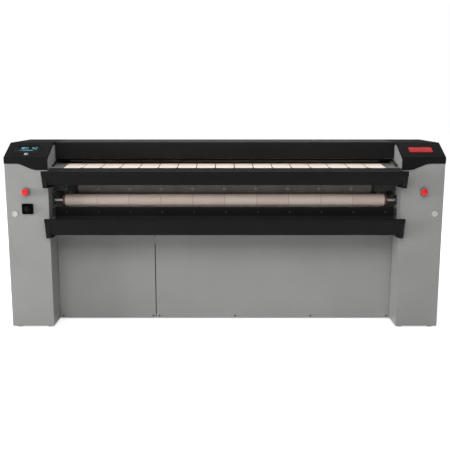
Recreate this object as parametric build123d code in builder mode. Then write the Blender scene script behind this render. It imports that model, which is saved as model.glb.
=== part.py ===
from build123d import *
from math import atan2, asin, cos, degrees, hypot, pi, sin, tan
import os

# Flatwork ironer with a heated cylinder, feed belts in front and front return.
# X runs along the machine, Y from front to back, Z up. The origin is the middle of the footprint.
# Depths are counted backwards from the front faces of the columns, heights from the floor.

# Overall sizes
belt_count = 10
belt_pitch = 200.0
end_room = 82.0
column_width = 260.0
cylinder_depth = 400.0
rear_room = 240.0
top_height = 1156.0
floor_gap = 8.0
nose_length = 90.0
outlet_length = 60.0
sheet = 2.5
cover_wall = 4.0
overrun = 5.0

column_depth = cylinder_depth + rear_room
inner_half = belt_count * belt_pitch / 2 + end_room
outer_half = inner_half + column_width
cover_half = outer_half + cover_wall
column_middle = (inner_half + outer_half) / 2
overall_depth = nose_length + column_depth + outlet_length
column_front = nose_length - overall_depth / 2

# Fits
running_gap = 0.05
belt_gap = 0.3
loose_gap = 2.0

# Top covers
slope_drop = 80.0
slope_run = 154.0
rear_round = 70.0
cover_lip = 40.5
cover_drop = 38.5
swoop_start = 81.3
swoop_width = 91.4
swoop_round = 110.0
swoop_shift = 21.0
flange_band = 16.0
cover_edge_round = 8.0
slope_foot = top_height - slope_drop
cover_low_outer = slope_foot - cover_lip
cover_low_inner = cover_low_outer - cover_drop
slope_angle = atan2(slope_drop, slope_run)

# Heated cylinder
cylinder_radius = 165.0
cylinder_wall = 6.0
cylinder_overhang = 30.0
cylinder_below = 261.0
cylinder_height = top_height - cylinder_below
journal_radius = 35.0
journal_bore = 24.0
end_plate = 8.0

# Belts and rollers
belt_thick = 2.0
belt_space = 1.6
roller_overhang = 7.0
return_overhang = 15.0
roller_wall = 4.0
roller_shaft = 10.0
roller_chamfer = 2.0
nip_radius = 22.0
nip_angle = 125.0
return_radius = 36.0
return_ahead = 288.0
return_below = 97.0
return_shaft = 8.0
return_depth = cylinder_depth - return_ahead
return_height = cylinder_height - return_below
rear_radius = 22.0
lower_rear_behind = 175.0
lower_rear_below = 205.0
upper_rear_behind = 185.0
upper_rear_above = 180.0
lower_rear_depth = cylinder_depth + lower_rear_behind
lower_rear_height = cylinder_height - lower_rear_below
upper_rear_depth = cylinder_depth + upper_rear_behind
upper_rear_height = cylinder_height + upper_rear_above
nip_lift = 0.2
nip_distance = cylinder_radius + nip_radius + 2 * belt_gap + belt_thick + nip_lift
nip_depth = cylinder_depth + nip_distance * cos(nip_angle * pi / 180)
nip_height = cylinder_height + nip_distance * sin(nip_angle * pi / 180)

# Delivery tray, in front of the return roller
tray_below = 96.0
tray_tall = 105.0
tray_lip_height = return_height - tray_below
tray_low = tray_lip_height - tray_tall

# Feed belts
feed_belt_count = 17
feed_belt_space = 5.5
feed_radius = 16.0
feed_shaft = 8.0
feed_ahead = 63.0
feed_below = 51.5
feed_run = 178.0
feed_rise = 14.0
feed_rear_depth = nip_depth - feed_ahead
feed_rear_height = nip_height - feed_below
feed_front_depth = feed_rear_depth - feed_run
feed_front_height = feed_rear_height - feed_rise
feed_belt_pitch = belt_count * belt_pitch / feed_belt_count
feed_tilt = atan2(feed_rise, feed_run)

# Side frames
frame_plate = 8.0
frame_inset = 20.0
base_thick = 6.0
journal_hole = 42.0
shaft_hole = 14.0
frame_face = inner_half + sheet + frame_plate

# Bearings in the side frames
cylinder_flange = 130.0
cylinder_flange_thick = 12.0
cylinder_boss = 52.0
cylinder_boss_length = 18.0
bearing_radius = 28.0
bearing_length = 20.0
shaft_stub = 6.0


def side_plane(x):
    # Side view: depth to the right, height up, seen from the right end of the machine
    return Plane(origin=(x, column_front, 0), x_dir=(0, 1, 0), z_dir=(1, 0, 0))


def front_plane(depth):
    # Front view at a given depth: X to the right, height up, pointing to the front
    return Plane(origin=(0, column_front + depth, 0), x_dir=(1, 0, 0), z_dir=(0, -1, 0))


def level_plane(height):
    # Plan view at a given height: X to the right, depth up
    return Plane(origin=(0, column_front, height), x_dir=(1, 0, 0), z_dir=(0, 0, 1))


def round_bar(radius, start, end, depth, height, mode=Mode.ADD):
    # Round bar or bore along X
    with BuildSketch(side_plane(start)) as section:
        with Locations((depth, height)):
            Circle(radius)
    extrude(section.sketch, amount=end - start, mode=mode)


def block(x_range, depth_range, height_range, mode=Mode.ADD):
    # Rectangular block between two X, two depths and two heights
    with BuildSketch(level_plane(height_range[0])) as section:
        with Locations(((x_range[0] + x_range[1]) / 2, (depth_range[0] + depth_range[1]) / 2)):
            Rectangle(x_range[1] - x_range[0], depth_range[1] - depth_range[0])
    extrude(section.sketch, amount=height_range[1] - height_range[0], mode=mode)


def side_prism(points, start, end, mode=Mode.ADD):
    # Prism along X over an outline given as depth and height
    with BuildSketch(side_plane(start)) as section:
        with BuildLine():
            Polyline(*points, close=True)
        make_face()
    extrude(section.sketch, amount=end - start, mode=mode)


def level_prism(points, height_range, mode=Mode.ADD):
    # Upright prism over an outline given as X and depth
    low, high = height_range
    with BuildSketch(level_plane(low)) as section:
        with BuildLine():
            Polyline(*points, close=True)
        make_face()
    extrude(section.sketch, amount=high - low, mode=mode)


def front_disc(radius, x, height, depth, length, mode=Mode.ADD):
    # Round boss or bore along Y, from a depth towards the front
    with BuildSketch(front_plane(depth)) as section:
        with Locations((x, height)):
            Circle(radius)
    extrude(section.sketch, amount=length, mode=mode)


def casing_sketch(x, inset, low, front):
    # Side outline of a column, a given distance inside the cover's outer face
    top = top_height - inset
    back = column_depth - inset
    bend = rear_round - inset
    foot = slope_foot + (front + cover_wall) * tan(slope_angle) - inset / cos(slope_angle)
    crest = front + (top - foot) / tan(slope_angle)
    with BuildSketch(side_plane(x)) as outline:
        with BuildLine():
            Polyline((front, low), (front, foot), (crest, top), (back - bend, top))
            CenterArc((back - bend, top - bend), bend, 0, 90)
            Polyline((back, top - bend), (back, low), (front, low))
        make_face()
    return outline.sketch


def casing_block(start, end, inset, low, front=None, mode=Mode.ADD):
    # Solid of the column outline between two X
    if front is None:
        front = inset - cover_wall
    extrude(casing_sketch(start, inset, low, front), amount=end - start, mode=mode)


def belt_sketch(x, wheels):
    # Closed belt line round wheels listed as depth, height, radius and side
    # Side is 1 where the wheel is inside the loop and -1 where it presses in from outside
    legs = []
    for here, there in zip(wheels, wheels[1:] + wheels[:1]):
        run = there[0] - here[0]
        rise = there[1] - here[1]
        reach = hypot(run, rise)
        share = (there[3] * there[2] - here[3] * here[2]) / reach
        angle = atan2(rise, run) - asin(max(-1.0, min(1.0, share)))
        legs.append(angle)
    with BuildSketch(side_plane(x)) as outline:
        with BuildLine():
            ends = []
            for index, (depth, height, radius, side) in enumerate(wheels):
                turn_in = legs[index - 1] - side * pi / 2
                turn_out = legs[index] - side * pi / 2
                turned = side * (turn_out - turn_in) % (2 * pi)
                arc = CenterArc((depth, height), radius, degrees(turn_in), side * degrees(turned))
                ends.append((arc @ 0, arc @ 1))
            for index, (start, finish) in enumerate(ends):
                Line(finish, ends[(index + 1) % len(ends)][0])
        make_face()
    return outline.sketch


def belt_loop(wheels, gap, thick, start, end):
    # Endless band of constant thickness round the wheels, clear of them by the gap
    outer = [(d, h, r + gap + (thick if side > 0 else 0), side) for d, h, r, side in wheels]
    inner = [(d, h, r + gap + (0 if side > 0 else thick), side) for d, h, r, side in wheels]
    extrude(belt_sketch(start, outer), amount=end - start)
    extrude(belt_sketch(start, inner), amount=end - start, mode=Mode.SUBTRACT)


def finish(builder, name):
    # Label the piece and write its file
    builder.part.label = name
    export_step(builder.part, f"parts/{name}.step")


def span(side, near, far):
    # X range on one side of the machine, given from its middle outwards
    return (side * near, side * far) if side > 0 else (side * far, side * near)


def slope_plane(lift=0.0):
    # The sloped control face: X to the right, distance up the slope from its foot
    normal = Vector(0, -sin(slope_angle), cos(slope_angle))
    foot = Vector(0, column_front - cover_wall, slope_foot)
    return Plane(origin=foot + normal * lift, x_dir=(1, 0, 0), z_dir=normal)


def slope_disc(radius, x, along, lift, length, mode=Mode.ADD):
    # Round piece or bore square to the control face
    with BuildSketch(slope_plane(lift)) as section:
        with Locations((x, along)):
            Circle(radius)
    extrude(section.sketch, amount=length, mode=mode)


def slope_plate(width, height, x, along, lift, thick, corner, mode=Mode.ADD):
    # Flat piece or window with round corners on the control face
    with BuildSketch(slope_plane(lift)) as section:
        with Locations((x, along)):
            RectangleRounded(width, height, corner)
    extrude(section.sketch, amount=thick, mode=mode)


def folded_sheet(points, thick, start, end, turn, side=Side.LEFT):
    # Sheet folded along X, following an outline of its outer face
    with BuildSketch(side_plane(start)) as section:
        with BuildLine():
            FilletPolyline(*points, radius=turn)
            offset(amount=thick, side=side)
        make_face()
    extrude(section.sketch, amount=end - start)


def roller(depth, height, radius, shaft, half_length, half_shaft):
    # Roller with a shaft end on each side
    round_bar(shaft, -half_shaft, half_shaft, depth, height)
    round_bar(radius, -half_length, half_length, depth, height)


os.makedirs("parts", exist_ok=True)
sides = ((-1, "left"), (1, "right"))
mirrored = (-1, 1)

# Places on the column fronts, counted from the outer side of each column
stop_inset = 125.0
stop_below = 293.0
stop_stem = 11.0
stop_head = 21.0
stop_head_thick = 14.0
stop_dome = 6.0
stop_collar = 26.0
stop_collar_thick = 10.0
stop_stand = 18.0
stop_travel = 5.0
stop_hole = 13.0
stop_block = 30.0
switch_inset = 130.0
switch_below = 105.0
switch_width = 68.0
switch_tall = 64.0
switch_thick = 8.0
switch_corner = 6.0
switch_stem = 6.0
knob_radius = 17.0
knob_thick = 7.0
knob_grip = 10.0
knob_grip_thick = 12.0
plug_inset = 49.0
plug_below = 32.0
plug_head = 17.5
plug_head_thick = 3.0
plug_stub = 14.5
plug_length = 9.0
stop_height = top_height - stop_below
switch_height = stop_height - switch_below
plug_height = switch_height - plug_below
stop_x = outer_half - stop_inset
switch_x = -(outer_half - switch_inset)
plug_x = outer_half - plug_inset

# Exhaust, at the back of the left column
outlet_stand = 53.5
outlet_x = -(frame_face + outlet_stand)
outlet_height = 470.0
outlet_radius = 50.0
outlet_wall = 1.5
outlet_flange = 124.0
outlet_flange_thick = 2.0
gland_inset = 72.0
gland_x = -(outer_half - gland_inset)
gland_height = 120.0
gland_radius = 10.0

# Finger guard
guard_ahead = 118.0
guard_above = 16.0
guard_depth = feed_rear_depth - guard_ahead
guard_height = feed_rear_height + guard_above
guard_pin = 4.0
guard_bar = 7.0
guard_length = 134.0
guard_rise = 26.0
guard_arm = 4.0
guard_arm_width = 9.0
guard_head = 7.0
guard_head_thick = 4.0
guard_stand = 7.0

# Through every inner wall and side frame: roller shafts as depth, height and hole radius
roller_holes = (
    (nip_depth, nip_height, shaft_hole),
    (lower_rear_depth, lower_rear_height, shaft_hole),
    (upper_rear_depth, upper_rear_height, shaft_hole),
    (feed_front_depth, feed_front_height, shaft_hole),
    (feed_rear_depth, feed_rear_height, shaft_hole),
    (return_depth, return_height, shaft_hole),
    (guard_depth, guard_height, guard_pin + running_gap),
)
fan_inlet = 60.0
fan_window = 62.0
fan_depth = 430.0
fan_height = 420.0
fan_square = (
    (fan_depth - fan_window, fan_depth + fan_window),
    (fan_height - fan_window, fan_height + fan_window),
)

# Column casings, open behind, below and under the cover
for side, name in sides:
    with BuildPart() as column:
        casing_block(*span(side, inner_half, outer_half), cover_wall, floor_gap)
        inside = span(side, inner_half + sheet, outer_half - sheet)
        block(inside, (sheet, column_depth), (floor_gap - overrun, top_height), Mode.SUBTRACT)
        wall = span(side, inner_half - overrun, inner_half + sheet + overrun)
        for depth, height, radius in roller_holes:
            round_bar(radius, *wall, depth, height, Mode.SUBTRACT)
        round_bar(journal_hole + frame_plate, *wall, cylinder_depth, cylinder_height, Mode.SUBTRACT)
        cut = sheet + 2 * overrun
        front_disc(stop_hole, side * stop_x, stop_height, sheet + overrun, cut, Mode.SUBTRACT)
        front_disc(plug_stub, side * plug_x, plug_height, sheet + overrun, cut, Mode.SUBTRACT)
        if side < 0:
            front_disc(stop_hole, switch_x, switch_height, sheet + overrun, cut, Mode.SUBTRACT)
            block(wall, *fan_square, Mode.SUBTRACT)
    finish(column, f"{name}_column")

# Column backs, with rows of vent slots
back_lap = 30.0
vent_length = 120.0
vent_height = 7.0
vent_pitch = 22.0
vent_rows = 9
vent_below = 376.0
back_face = column_depth - cover_wall
with BuildPart() as column_backs:
    for side in mirrored:
        inside = span(side, inner_half + sheet, outer_half - sheet)
        block(inside, (back_face - sheet, back_face), (floor_gap, cover_low_outer + back_lap))
        with BuildSketch(front_plane(back_face + overrun)) as vents:
            with Locations((side * column_middle, top_height - vent_below)):
                with GridLocations(0, vent_pitch, 1, vent_rows):
                    Rectangle(vent_length, vent_height)
        extrude(vents.sketch, amount=sheet + 2 * overrun, mode=Mode.SUBTRACT)
    cut = sheet + 2 * overrun
    front_disc(outlet_radius, outlet_x, outlet_height, back_face + overrun, cut, Mode.SUBTRACT)
    front_disc(gland_radius, gland_x, gland_height, back_face + overrun, cut, Mode.SUBTRACT)
finish(column_backs, "column_backs")

# Side frames: a bearing plate and a base plate in each column
arm_height = 135.0
arm_thick = 8.0
arm_width = 60.0
heater_length = 79.0
heater_tube = 20.0
shelf_height = 232.0
shelf_thick = 8.0
shelf_length = 198.0
shelf_depth = 250.0
shelf_width = 160.0
foot_stud = 6.0
foot_pad = 19.0
foot_depth = 24.0
foot_back = 596.0
foot_outer = 42.0
foot_inner = 27.0
foot_places = []
for side in mirrored:
    for x in (inner_half + foot_inner, outer_half - foot_outer):
        for depth in (foot_depth, foot_back):
            foot_places.append((side * x, depth))
for side, name in sides:
    with BuildPart() as side_frame:
        plate = span(side, inner_half + sheet, frame_face)
        casing_block(*plate, frame_inset, floor_gap)
        base = span(side, inner_half + sheet, outer_half - sheet)
        base_low = floor_gap + base_thick
        block(base, (sheet, back_face - sheet), (floor_gap, base_low))
        arm = span(side, inner_half + sheet, frame_face + heater_length)
        arm_depths = (cylinder_depth - arm_width / 2, cylinder_depth + arm_width / 2)
        arm_low = cylinder_height + arm_height
        block(arm, arm_depths, (arm_low, arm_low + arm_thick))
        drop = span(side, frame_face + heater_length - arm_thick, frame_face + heater_length)
        block(drop, arm_depths, (cylinder_height - arm_width / 2, arm_low))
        if side > 0:
            shelf = span(side, inner_half + sheet, frame_face + shelf_length)
            shelf_depths = (shelf_depth, shelf_depth + shelf_width)
            block(shelf, shelf_depths, (shelf_height, shelf_height + shelf_thick))
            gusset = (shelf_depth, shelf_depth + shelf_thick)
            block(shelf, gusset, (base_low, shelf_height))
        cut = span(side, inner_half, frame_face + heater_length + overrun)
        for depth, height, radius in roller_holes:
            round_bar(radius, *cut, depth, height, Mode.SUBTRACT)
        near = span(side, inner_half, frame_face + overrun)
        round_bar(journal_hole, *near, cylinder_depth, cylinder_height, Mode.SUBTRACT)
        round_bar(heater_tube, *cut, cylinder_depth, cylinder_height, Mode.SUBTRACT)
        if side < 0:
            block(near, *fan_square, Mode.SUBTRACT)
        with BuildSketch(level_plane(floor_gap - overrun)) as stud_holes:
            for x, depth in foot_places:
                if x * side > 0:
                    with Locations((x, depth)):
                        Circle(foot_stud + running_gap)
        extrude(stud_holes.sketch, amount=base_thick + 2 * overrun, mode=Mode.SUBTRACT)
    finish(side_frame, f"{name}_side_frame")

# Levelling feet: a round pad, a hexagon and a stud up through the base plate
pad_thick = 4.0
hexagon = 9.5
stud_length = 46.0
with BuildPart() as levelling_feet:
    for x, depth in foot_places:
        with BuildSketch(level_plane(0)) as pad:
            with Locations((x, depth)):
                Circle(foot_pad)
        extrude(pad.sketch, amount=pad_thick)
        with BuildSketch(level_plane(pad_thick)) as nut:
            with Locations((x, depth)):
                RegularPolygon(hexagon, 6)
        extrude(nut.sketch, amount=floor_gap - pad_thick)
        with BuildSketch(level_plane(floor_gap)) as stud:
            with Locations((x, depth)):
                Circle(foot_stud)
        extrude(stud.sketch, amount=stud_length)
finish(levelling_feet, "levelling_feet")

# Control face: places counted from the outer side of the column and up the slope
display_inset = 126.0
display_along = 90.0
display_width = 137.0
display_tall = 82.0
display_thick = 2.0
display_corner = 4.0
display_seat = 6.0
bezel_rim = 4.0
bezel_thick = 3.0
bezel_gap = 0.2
button_inset = 129.0
button_along = 31.4
button_radius = 10.5
button_ring = 13.2
button_ring_thick = 2.0
button_stand = 5.0
button_stem = 20.0
button_round = 1.5
button_hole = 11.5
plate_inset = 128.5
plate_along = 84.5
plate_width = 154.0
plate_tall = 69.0
plate_thick = 2.0
display_x = -(outer_half - display_inset)
button_x = -(outer_half - button_inset)
plate_x = outer_half - plate_inset

# Moulded top covers: sloped control face, rolled back edge, S-shaped lower edge in front
for side, name in sides:
    with BuildPart() as top_cover:
        casing_block(*span(side, inner_half - cover_wall, cover_half), 0, cover_low_inner)
        outer_face = top_cover.faces().sort_by(Axis.X)[-1 if side > 0 else 0]
        rim = [edge for edge in outer_face.edges() if edge.center().Z > cover_low_inner]
        ridge_limit = column_front + slope_run
        ridges = []
        for edge in top_cover.edges().filter_by(Axis.X):
            if edge.center().Z > slope_foot - overrun and edge.center().Y < ridge_limit:
                ridges.append(edge)
        fillet(rim + ridges, radius=cover_edge_round)
        hollow = span(side, inner_half, outer_half)
        casing_block(*hollow, cover_wall, cover_low_inner - overrun, mode=Mode.SUBTRACT)
        across = span(side, inner_half - cover_wall - overrun, cover_half + overrun)
        low_edge = (cover_low_inner - overrun, cover_low_outer)
        block(across, (0, column_depth + overrun), low_edge, Mode.SUBTRACT)
        inner_wall = span(side, inner_half - cover_wall - overrun, inner_half)
        low = cover_low_inner - overrun
        casing_block(*inner_wall, flange_band, low, front=0, mode=Mode.SUBTRACT)
        shift = swoop_shift if side > 0 else 0
        first = inner_half + swoop_start - shift
        last = first + swoop_width
        swoop_line = (
            (side * (inner_half + overrun), cover_low_inner),
            (side * first, cover_low_inner),
            (side * last, cover_low_outer),
            (side * (cover_half + overrun), cover_low_outer),
        )
        with BuildSketch(front_plane(0)) as swoop:
            with BuildLine():
                edge = FilletPolyline(*swoop_line, radius=swoop_round)
                Polyline(
                    edge @ 1,
                    (side * (cover_half + overrun), low),
                    (side * (inner_half + overrun), low),
                    edge @ 0,
                )
            make_face()
        extrude(swoop.sketch, amount=cover_wall + overrun, mode=Mode.SUBTRACT)
        if side < 0:
            slope_plate(
                display_width - 2 * display_seat,
                display_tall - 2 * display_seat,
                display_x,
                display_along,
                -cover_wall - overrun,
                cover_wall + 2 * overrun,
                display_corner,
                Mode.SUBTRACT,
            )
            through = cover_wall + 2 * overrun
            slope_disc(button_hole, button_x, button_along, -cover_wall - overrun, through, Mode.SUBTRACT)
    finish(top_cover, f"{name}_top_cover")

# Display: glass on the control face, framed by a bezel
with BuildPart() as display_glass:
    slope_plate(display_width, display_tall, display_x, display_along, 0, display_thick, display_corner)
finish(display_glass, "display_glass")

with BuildPart() as display_bezel:
    window_width = display_width + 2 * bezel_gap
    window_tall = display_tall + 2 * bezel_gap
    frame_width = window_width + 2 * bezel_rim
    frame_tall = window_tall + 2 * bezel_rim
    slope_plate(frame_width, frame_tall, display_x, display_along, 0, bezel_thick, display_corner + bezel_rim)
    slope_plate(
        window_width,
        window_tall,
        display_x,
        display_along,
        -overrun,
        bezel_thick + 2 * overrun,
        display_corner,
        Mode.SUBTRACT,
    )
finish(display_bezel, "display_bezel")

# Start button, which travels into its ring
with BuildPart() as start_button:
    slope_disc(button_radius, button_x, button_along, button_stand - button_stem, button_stem)
    crown = start_button.edges().filter_by(GeomType.CIRCLE).sort_by(Axis.Z)[-1]
    fillet(crown, radius=button_round)
finish(start_button, "start_button")

with BuildPart() as button_ring_part:
    slope_disc(button_ring, button_x, button_along, 0, button_ring_thick)
    bore = button_radius + running_gap
    slope_disc(bore, button_x, button_along, -overrun, button_ring_thick + 2 * overrun, Mode.SUBTRACT)
finish(button_ring_part, "button_ring")

# Bare plate on the right cover
with BuildPart() as front_plate:
    slope_plate(plate_width, plate_tall, plate_x, plate_along, 0, plate_thick, display_corner)
finish(front_plate, "red_plate")

# Hood across the machine, between the covers
hood_ahead = 78.0
hood_face = 104.0
hood_back_face = 156.0
hood_front = nip_depth - hood_ahead
hood_low = top_height - hood_face
hood_back_low = top_height - hood_back_face
hood_round = 10.0
hood_return = 17.0
hood_half = inner_half - cover_wall


def hood_sketch(x, inset, low):
    # Side outline of the hood, a given distance inside its outer face
    front = hood_front + inset
    top = top_height - inset
    back = column_depth - inset
    bend = rear_round - inset
    lip = hood_round - inset
    with BuildSketch(side_plane(x)) as outline:
        with BuildLine():
            Line((front, low), (front, top - lip))
            CenterArc((front + lip, top - lip), lip, 180, -90)
            Line((front + lip, top), (back - bend, top))
            CenterArc((back - bend, top - bend), bend, 0, 90)
            Polyline((back, top - bend), (back, low), (front, low))
        make_face()
    return outline.sketch


with BuildPart() as hood:
    extrude(hood_sketch(-hood_half, 0, hood_back_low), amount=2 * hood_half)
    hollow = hood_sketch(-hood_half, sheet, hood_back_low - overrun)
    extrude(hollow, amount=2 * hood_half, mode=Mode.SUBTRACT)
    whole = (-hood_half, hood_half)
    front_zone = (hood_front - overrun, hood_front + rear_round)
    block(whole, front_zone, (hood_back_low - overrun, hood_low), Mode.SUBTRACT)
    block(whole, (hood_front, hood_front + hood_return), (hood_low, hood_low + sheet))
finish(hood, "hood")

# Rear panel with vent slots, lapped by the hood
panel_half = inner_half
rear_panel_low = 60.0
rear_lap = 20.0
rear_vents = 14
rear_vent_pitch = 140.0
rear_vent_length = 100.0
rear_vent_rows = 4
rear_vent_centre = 300.0
rear_face = column_depth - sheet
with BuildPart() as rear_panel:
    top = hood_back_low + rear_lap
    block((-panel_half, panel_half), (rear_face - sheet, rear_face), (rear_panel_low, top))
    with BuildSketch(front_plane(rear_face + overrun)) as vents:
        with Locations((0, rear_vent_centre)):
            with GridLocations(rear_vent_pitch, vent_pitch, rear_vents, rear_vent_rows):
                Rectangle(rear_vent_length, vent_height)
    extrude(vents.sketch, amount=sheet + 2 * overrun, mode=Mode.SUBTRACT)
finish(rear_panel, "rear_panel")

# Front panels: folded sheet, a short one on the left and a long one on the right
panel_behind = 58.0
panel_low = 6.0
panel_over_tray = 3.0
panel_depth = return_depth + panel_behind
panel_top = tray_low + panel_over_tray
panel_lip = 20.0
panel_bend = 3.0
panel_seam = 3.0
panel_side_gap = 2.0
panel_split_inset = 631.0
panel_split = inner_half - panel_split_inset
for name, start, end in (
    ("left", -inner_half + panel_side_gap, -panel_split - panel_seam / 2),
    ("right", -panel_split + panel_seam / 2, inner_half - panel_side_gap),
):
    outline = (
        (panel_depth + panel_lip, panel_low),
        (panel_depth, panel_low),
        (panel_depth, panel_top),
        (panel_depth + panel_lip, panel_top),
    )
    with BuildPart() as front_panel:
        folded_sheet(outline, sheet, start, end, panel_bend, Side.RIGHT)
    finish(front_panel, f"{name}_front_panel")

# Cross tubes between the columns
beam_deep = 40.0
beam_tall = 50.0
beam_low = 12.0
upper_beam_drop = 55.0
upper_beam_low = panel_top - upper_beam_drop
rear_beam_low = 62.0
rail_deep = 34.0
rail_tall = 42.0
rail_below = 98.0
rail_low = return_height - rail_below
stripper_behind = 25.0
stripper_depth = return_depth + stripper_behind
stripper_thick = 2.0
stripper_rail_deep = 24.0
stripper_rail_tall = 36.0
stripper_rail_above = 54.0
stripper_rail_low = return_height + stripper_rail_above
chute_ahead = 24.0
chute_depth = return_depth - chute_ahead
chute_thick = 2.0
beam_wall = 3.0
behind_panel = panel_depth + sheet
behind_chute = chute_depth + chute_thick
behind_stripper = stripper_depth + stripper_thick
beams = (
    (behind_panel, beam_low, beam_deep, beam_tall),
    (behind_panel, upper_beam_low, beam_deep, beam_tall),
    (rear_face - sheet - beam_deep, rear_beam_low, beam_deep, beam_tall),
    (behind_chute, rail_low, rail_deep, rail_tall),
    (behind_stripper, stripper_rail_low, stripper_rail_deep, stripper_rail_tall),
)
with BuildPart() as cross_tubes:
    for depth, low, deep, tall in beams:
        with BuildSketch(side_plane(-inner_half)) as section:
            with Locations((depth + deep / 2, low + tall / 2)):
                Rectangle(deep, tall)
                Rectangle(deep - 2 * beam_wall, tall - 2 * beam_wall, mode=Mode.SUBTRACT)
        extrude(section.sketch, amount=2 * inner_half)
finish(cross_tubes, "cross_tubes")

# Feed nose: folded bar in front of the feed belts, wider in front of the columns
bar_wing = 17.0
cap_inset = 10.0
cap_near = inner_half - cap_inset
leg_inset = 18.0
leg_near = inner_half - leg_inset
bar_thick = 3.0
bar_bend = 4.0
wing_half = inner_half + bar_wing
nose_under = 20.0
nose_back = feed_front_depth - nose_under
nose_above = 6.0
nose_back_height = feed_front_height + feed_radius + nose_above
nose_hem = 26.0
nose_fall = 11.0
nose_lip_height = nose_back_height - nose_fall
nose_lip = 26.0
nose_step = 5.0
nose_step_drop = 3.0
nose_face_foot = -52.0
nose_tall = 97.0
nose_face_low = nose_back_height - nose_tall
nose_return = 30.0
nose_front = -nose_length
nose_clear = 4.0
wing_hem = 12.0
notch_inset = 31.0
notch_rear_inset = 2.0
lip_low = nose_lip_height - nose_lip
nose_outline = (
    (nose_back, nose_back_height - nose_hem),
    (nose_back, nose_back_height),
    (nose_front, nose_lip_height),
    (nose_front, lip_low),
    (nose_front + nose_step, lip_low - nose_step_drop),
    (nose_face_foot, nose_face_low),
    (nose_face_foot + nose_return, nose_face_low),
)
with BuildPart() as feed_nose:
    folded_sheet(nose_outline, bar_thick, -wing_half, wing_half, bar_bend, Side.LEFT)
    for side in mirrored:
        notch = span(side, inner_half - nose_clear, wing_half + overrun)
        block(notch, (-cover_wall, nose_back + overrun), (nose_face_low, top_height), Mode.SUBTRACT)
        beyond = side * (wing_half + overrun)
        opening = (
            (side * (inner_half - notch_inset), nose_front + wing_hem),
            (side * (inner_half - notch_rear_inset), nose_back + overrun),
            (beyond, nose_back + overrun),
            (beyond, nose_front + wing_hem),
        )
        level_prism(opening, (lip_low, top_height), Mode.SUBTRACT)
        under = span(side, cap_near, wing_half + overrun)
        below = (nose_face_low - overrun, lip_low - nose_step_drop)
        block(under, (nose_front - overrun, nose_back + overrun), below, Mode.SUBTRACT)
finish(feed_nose, "feed_nose")

# Delivery tray: the same kind of bar, with a floor behind it
tray_lip_depth = -60.0
tray_hem = 16.0
tray_lip = 22.0
tray_face_foot = -25.0
tray_floor_behind = 10.0
chute_foot_ahead = 50.0
chute_foot = return_depth - chute_foot_ahead
tray_floor_back = chute_foot + tray_floor_behind
tray_lip_low = tray_lip_height - tray_lip
tray_outline = (
    (tray_lip_depth + tray_hem, tray_lip_height),
    (tray_lip_depth, tray_lip_height),
    (tray_lip_depth, tray_lip_low),
    (tray_lip_depth + nose_step, tray_lip_low - nose_step_drop),
    (tray_face_foot, tray_low),
    (tray_floor_back, tray_low),
)
with BuildPart() as delivery_tray:
    folded_sheet(tray_outline, bar_thick, -wing_half, wing_half, bar_bend, Side.LEFT)
    for side in mirrored:
        under = span(side, cap_near, wing_half + overrun)
        below = (tray_low - overrun, tray_lip_low - nose_step_drop)
        block(under, (tray_lip_depth, tray_floor_back + overrun), below, Mode.SUBTRACT)
        behind = span(side, leg_near, wing_half + overrun)
        block(behind, (0, tray_floor_back + overrun), below, Mode.SUBTRACT)
finish(delivery_tray, "delivery_tray")

# End caps of both bars: a wing in front of the column and a leg between the walls
cap_leg = 18.0
cap_corner = 1.5
cap_lip_inside = ((3.0, 3.0), (7.4, -0.7), (8.6, -3.0))
cap_leg_length = 85.0
cap_below = 19.0
nose_cap_low = nose_face_low - cap_below
nose_cap_foot = -56.0
tray_cap_low = tray_low - cap_below
tray_cap_foot = -28.0
cap_leg_top = 30.0
cap_fall = 10.0
nose_cap_front = nose_front + bar_thick
nose_cap_top = nose_lip_height - bar_thick
tray_cap_front = tray_lip_depth + bar_thick
tray_cap_top = tray_lip_height - bar_thick
with BuildPart() as bar_end_caps:
    for side in mirrored:
        lip = [(nose_front + ahead, lip_low + rise) for ahead, rise in cap_lip_inside]
        wing = (
            *lip,
            (nose_cap_foot, nose_cap_low),
            (0, nose_cap_low),
            (0, nose_cap_top - cap_fall),
            (nose_cap_front + cap_corner, nose_cap_top),
            (nose_cap_front, nose_cap_top - cap_corner),
        )
        side_prism(wing, *span(side, cap_near, wing_half))
        leg_top = lip_low - nose_step_drop - cap_leg_top
        leg = ((0, nose_cap_low), (cap_leg_length, nose_cap_low), (cap_leg_length, leg_top), (0, leg_top))
        side_prism(leg, *span(side, leg_near, leg_near + cap_leg))
        lip = [(tray_lip_depth + ahead, tray_lip_low + rise) for ahead, rise in cap_lip_inside]
        wing = (
            *lip,
            (tray_cap_foot, tray_cap_low),
            (0, tray_cap_low),
            (0, tray_cap_top - cap_fall),
            (tray_cap_front + cap_corner, tray_cap_top),
            (tray_cap_front, tray_cap_top - cap_corner),
        )
        side_prism(wing, *span(side, cap_near, wing_half))
        leg_top = tray_lip_low - nose_step_drop
        leg = ((0, tray_cap_low), (cap_leg_length, tray_cap_low), (cap_leg_length, leg_top), (0, leg_top))
        side_prism(leg, *span(side, leg_near, leg_near + cap_leg))
finish(bar_end_caps, "bar_end_caps")

# Delivery chute: black sheet from under the return roller down to the tray floor
chute_top_below = 40.0
chute_top = return_height - chute_top_below
chute_bend_below = 98.0
chute_bend_height = return_height - chute_bend_below
chute_hem = 16.0
chute_hem_drop = 6.0
chute_gap = 1.0
chute_bend = 20.0
chute_outline = (
    (chute_depth + chute_hem, chute_top - chute_hem_drop),
    (chute_depth, chute_top),
    (chute_depth, chute_bend_height),
    (chute_foot, tray_low + bar_thick + chute_gap),
)
chute_half = leg_near - chute_gap
with BuildPart() as delivery_chute:
    folded_sheet(chute_outline, chute_thick, -chute_half, chute_half, bar_bend, Side.LEFT)
finish(delivery_chute, "delivery_chute")

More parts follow.
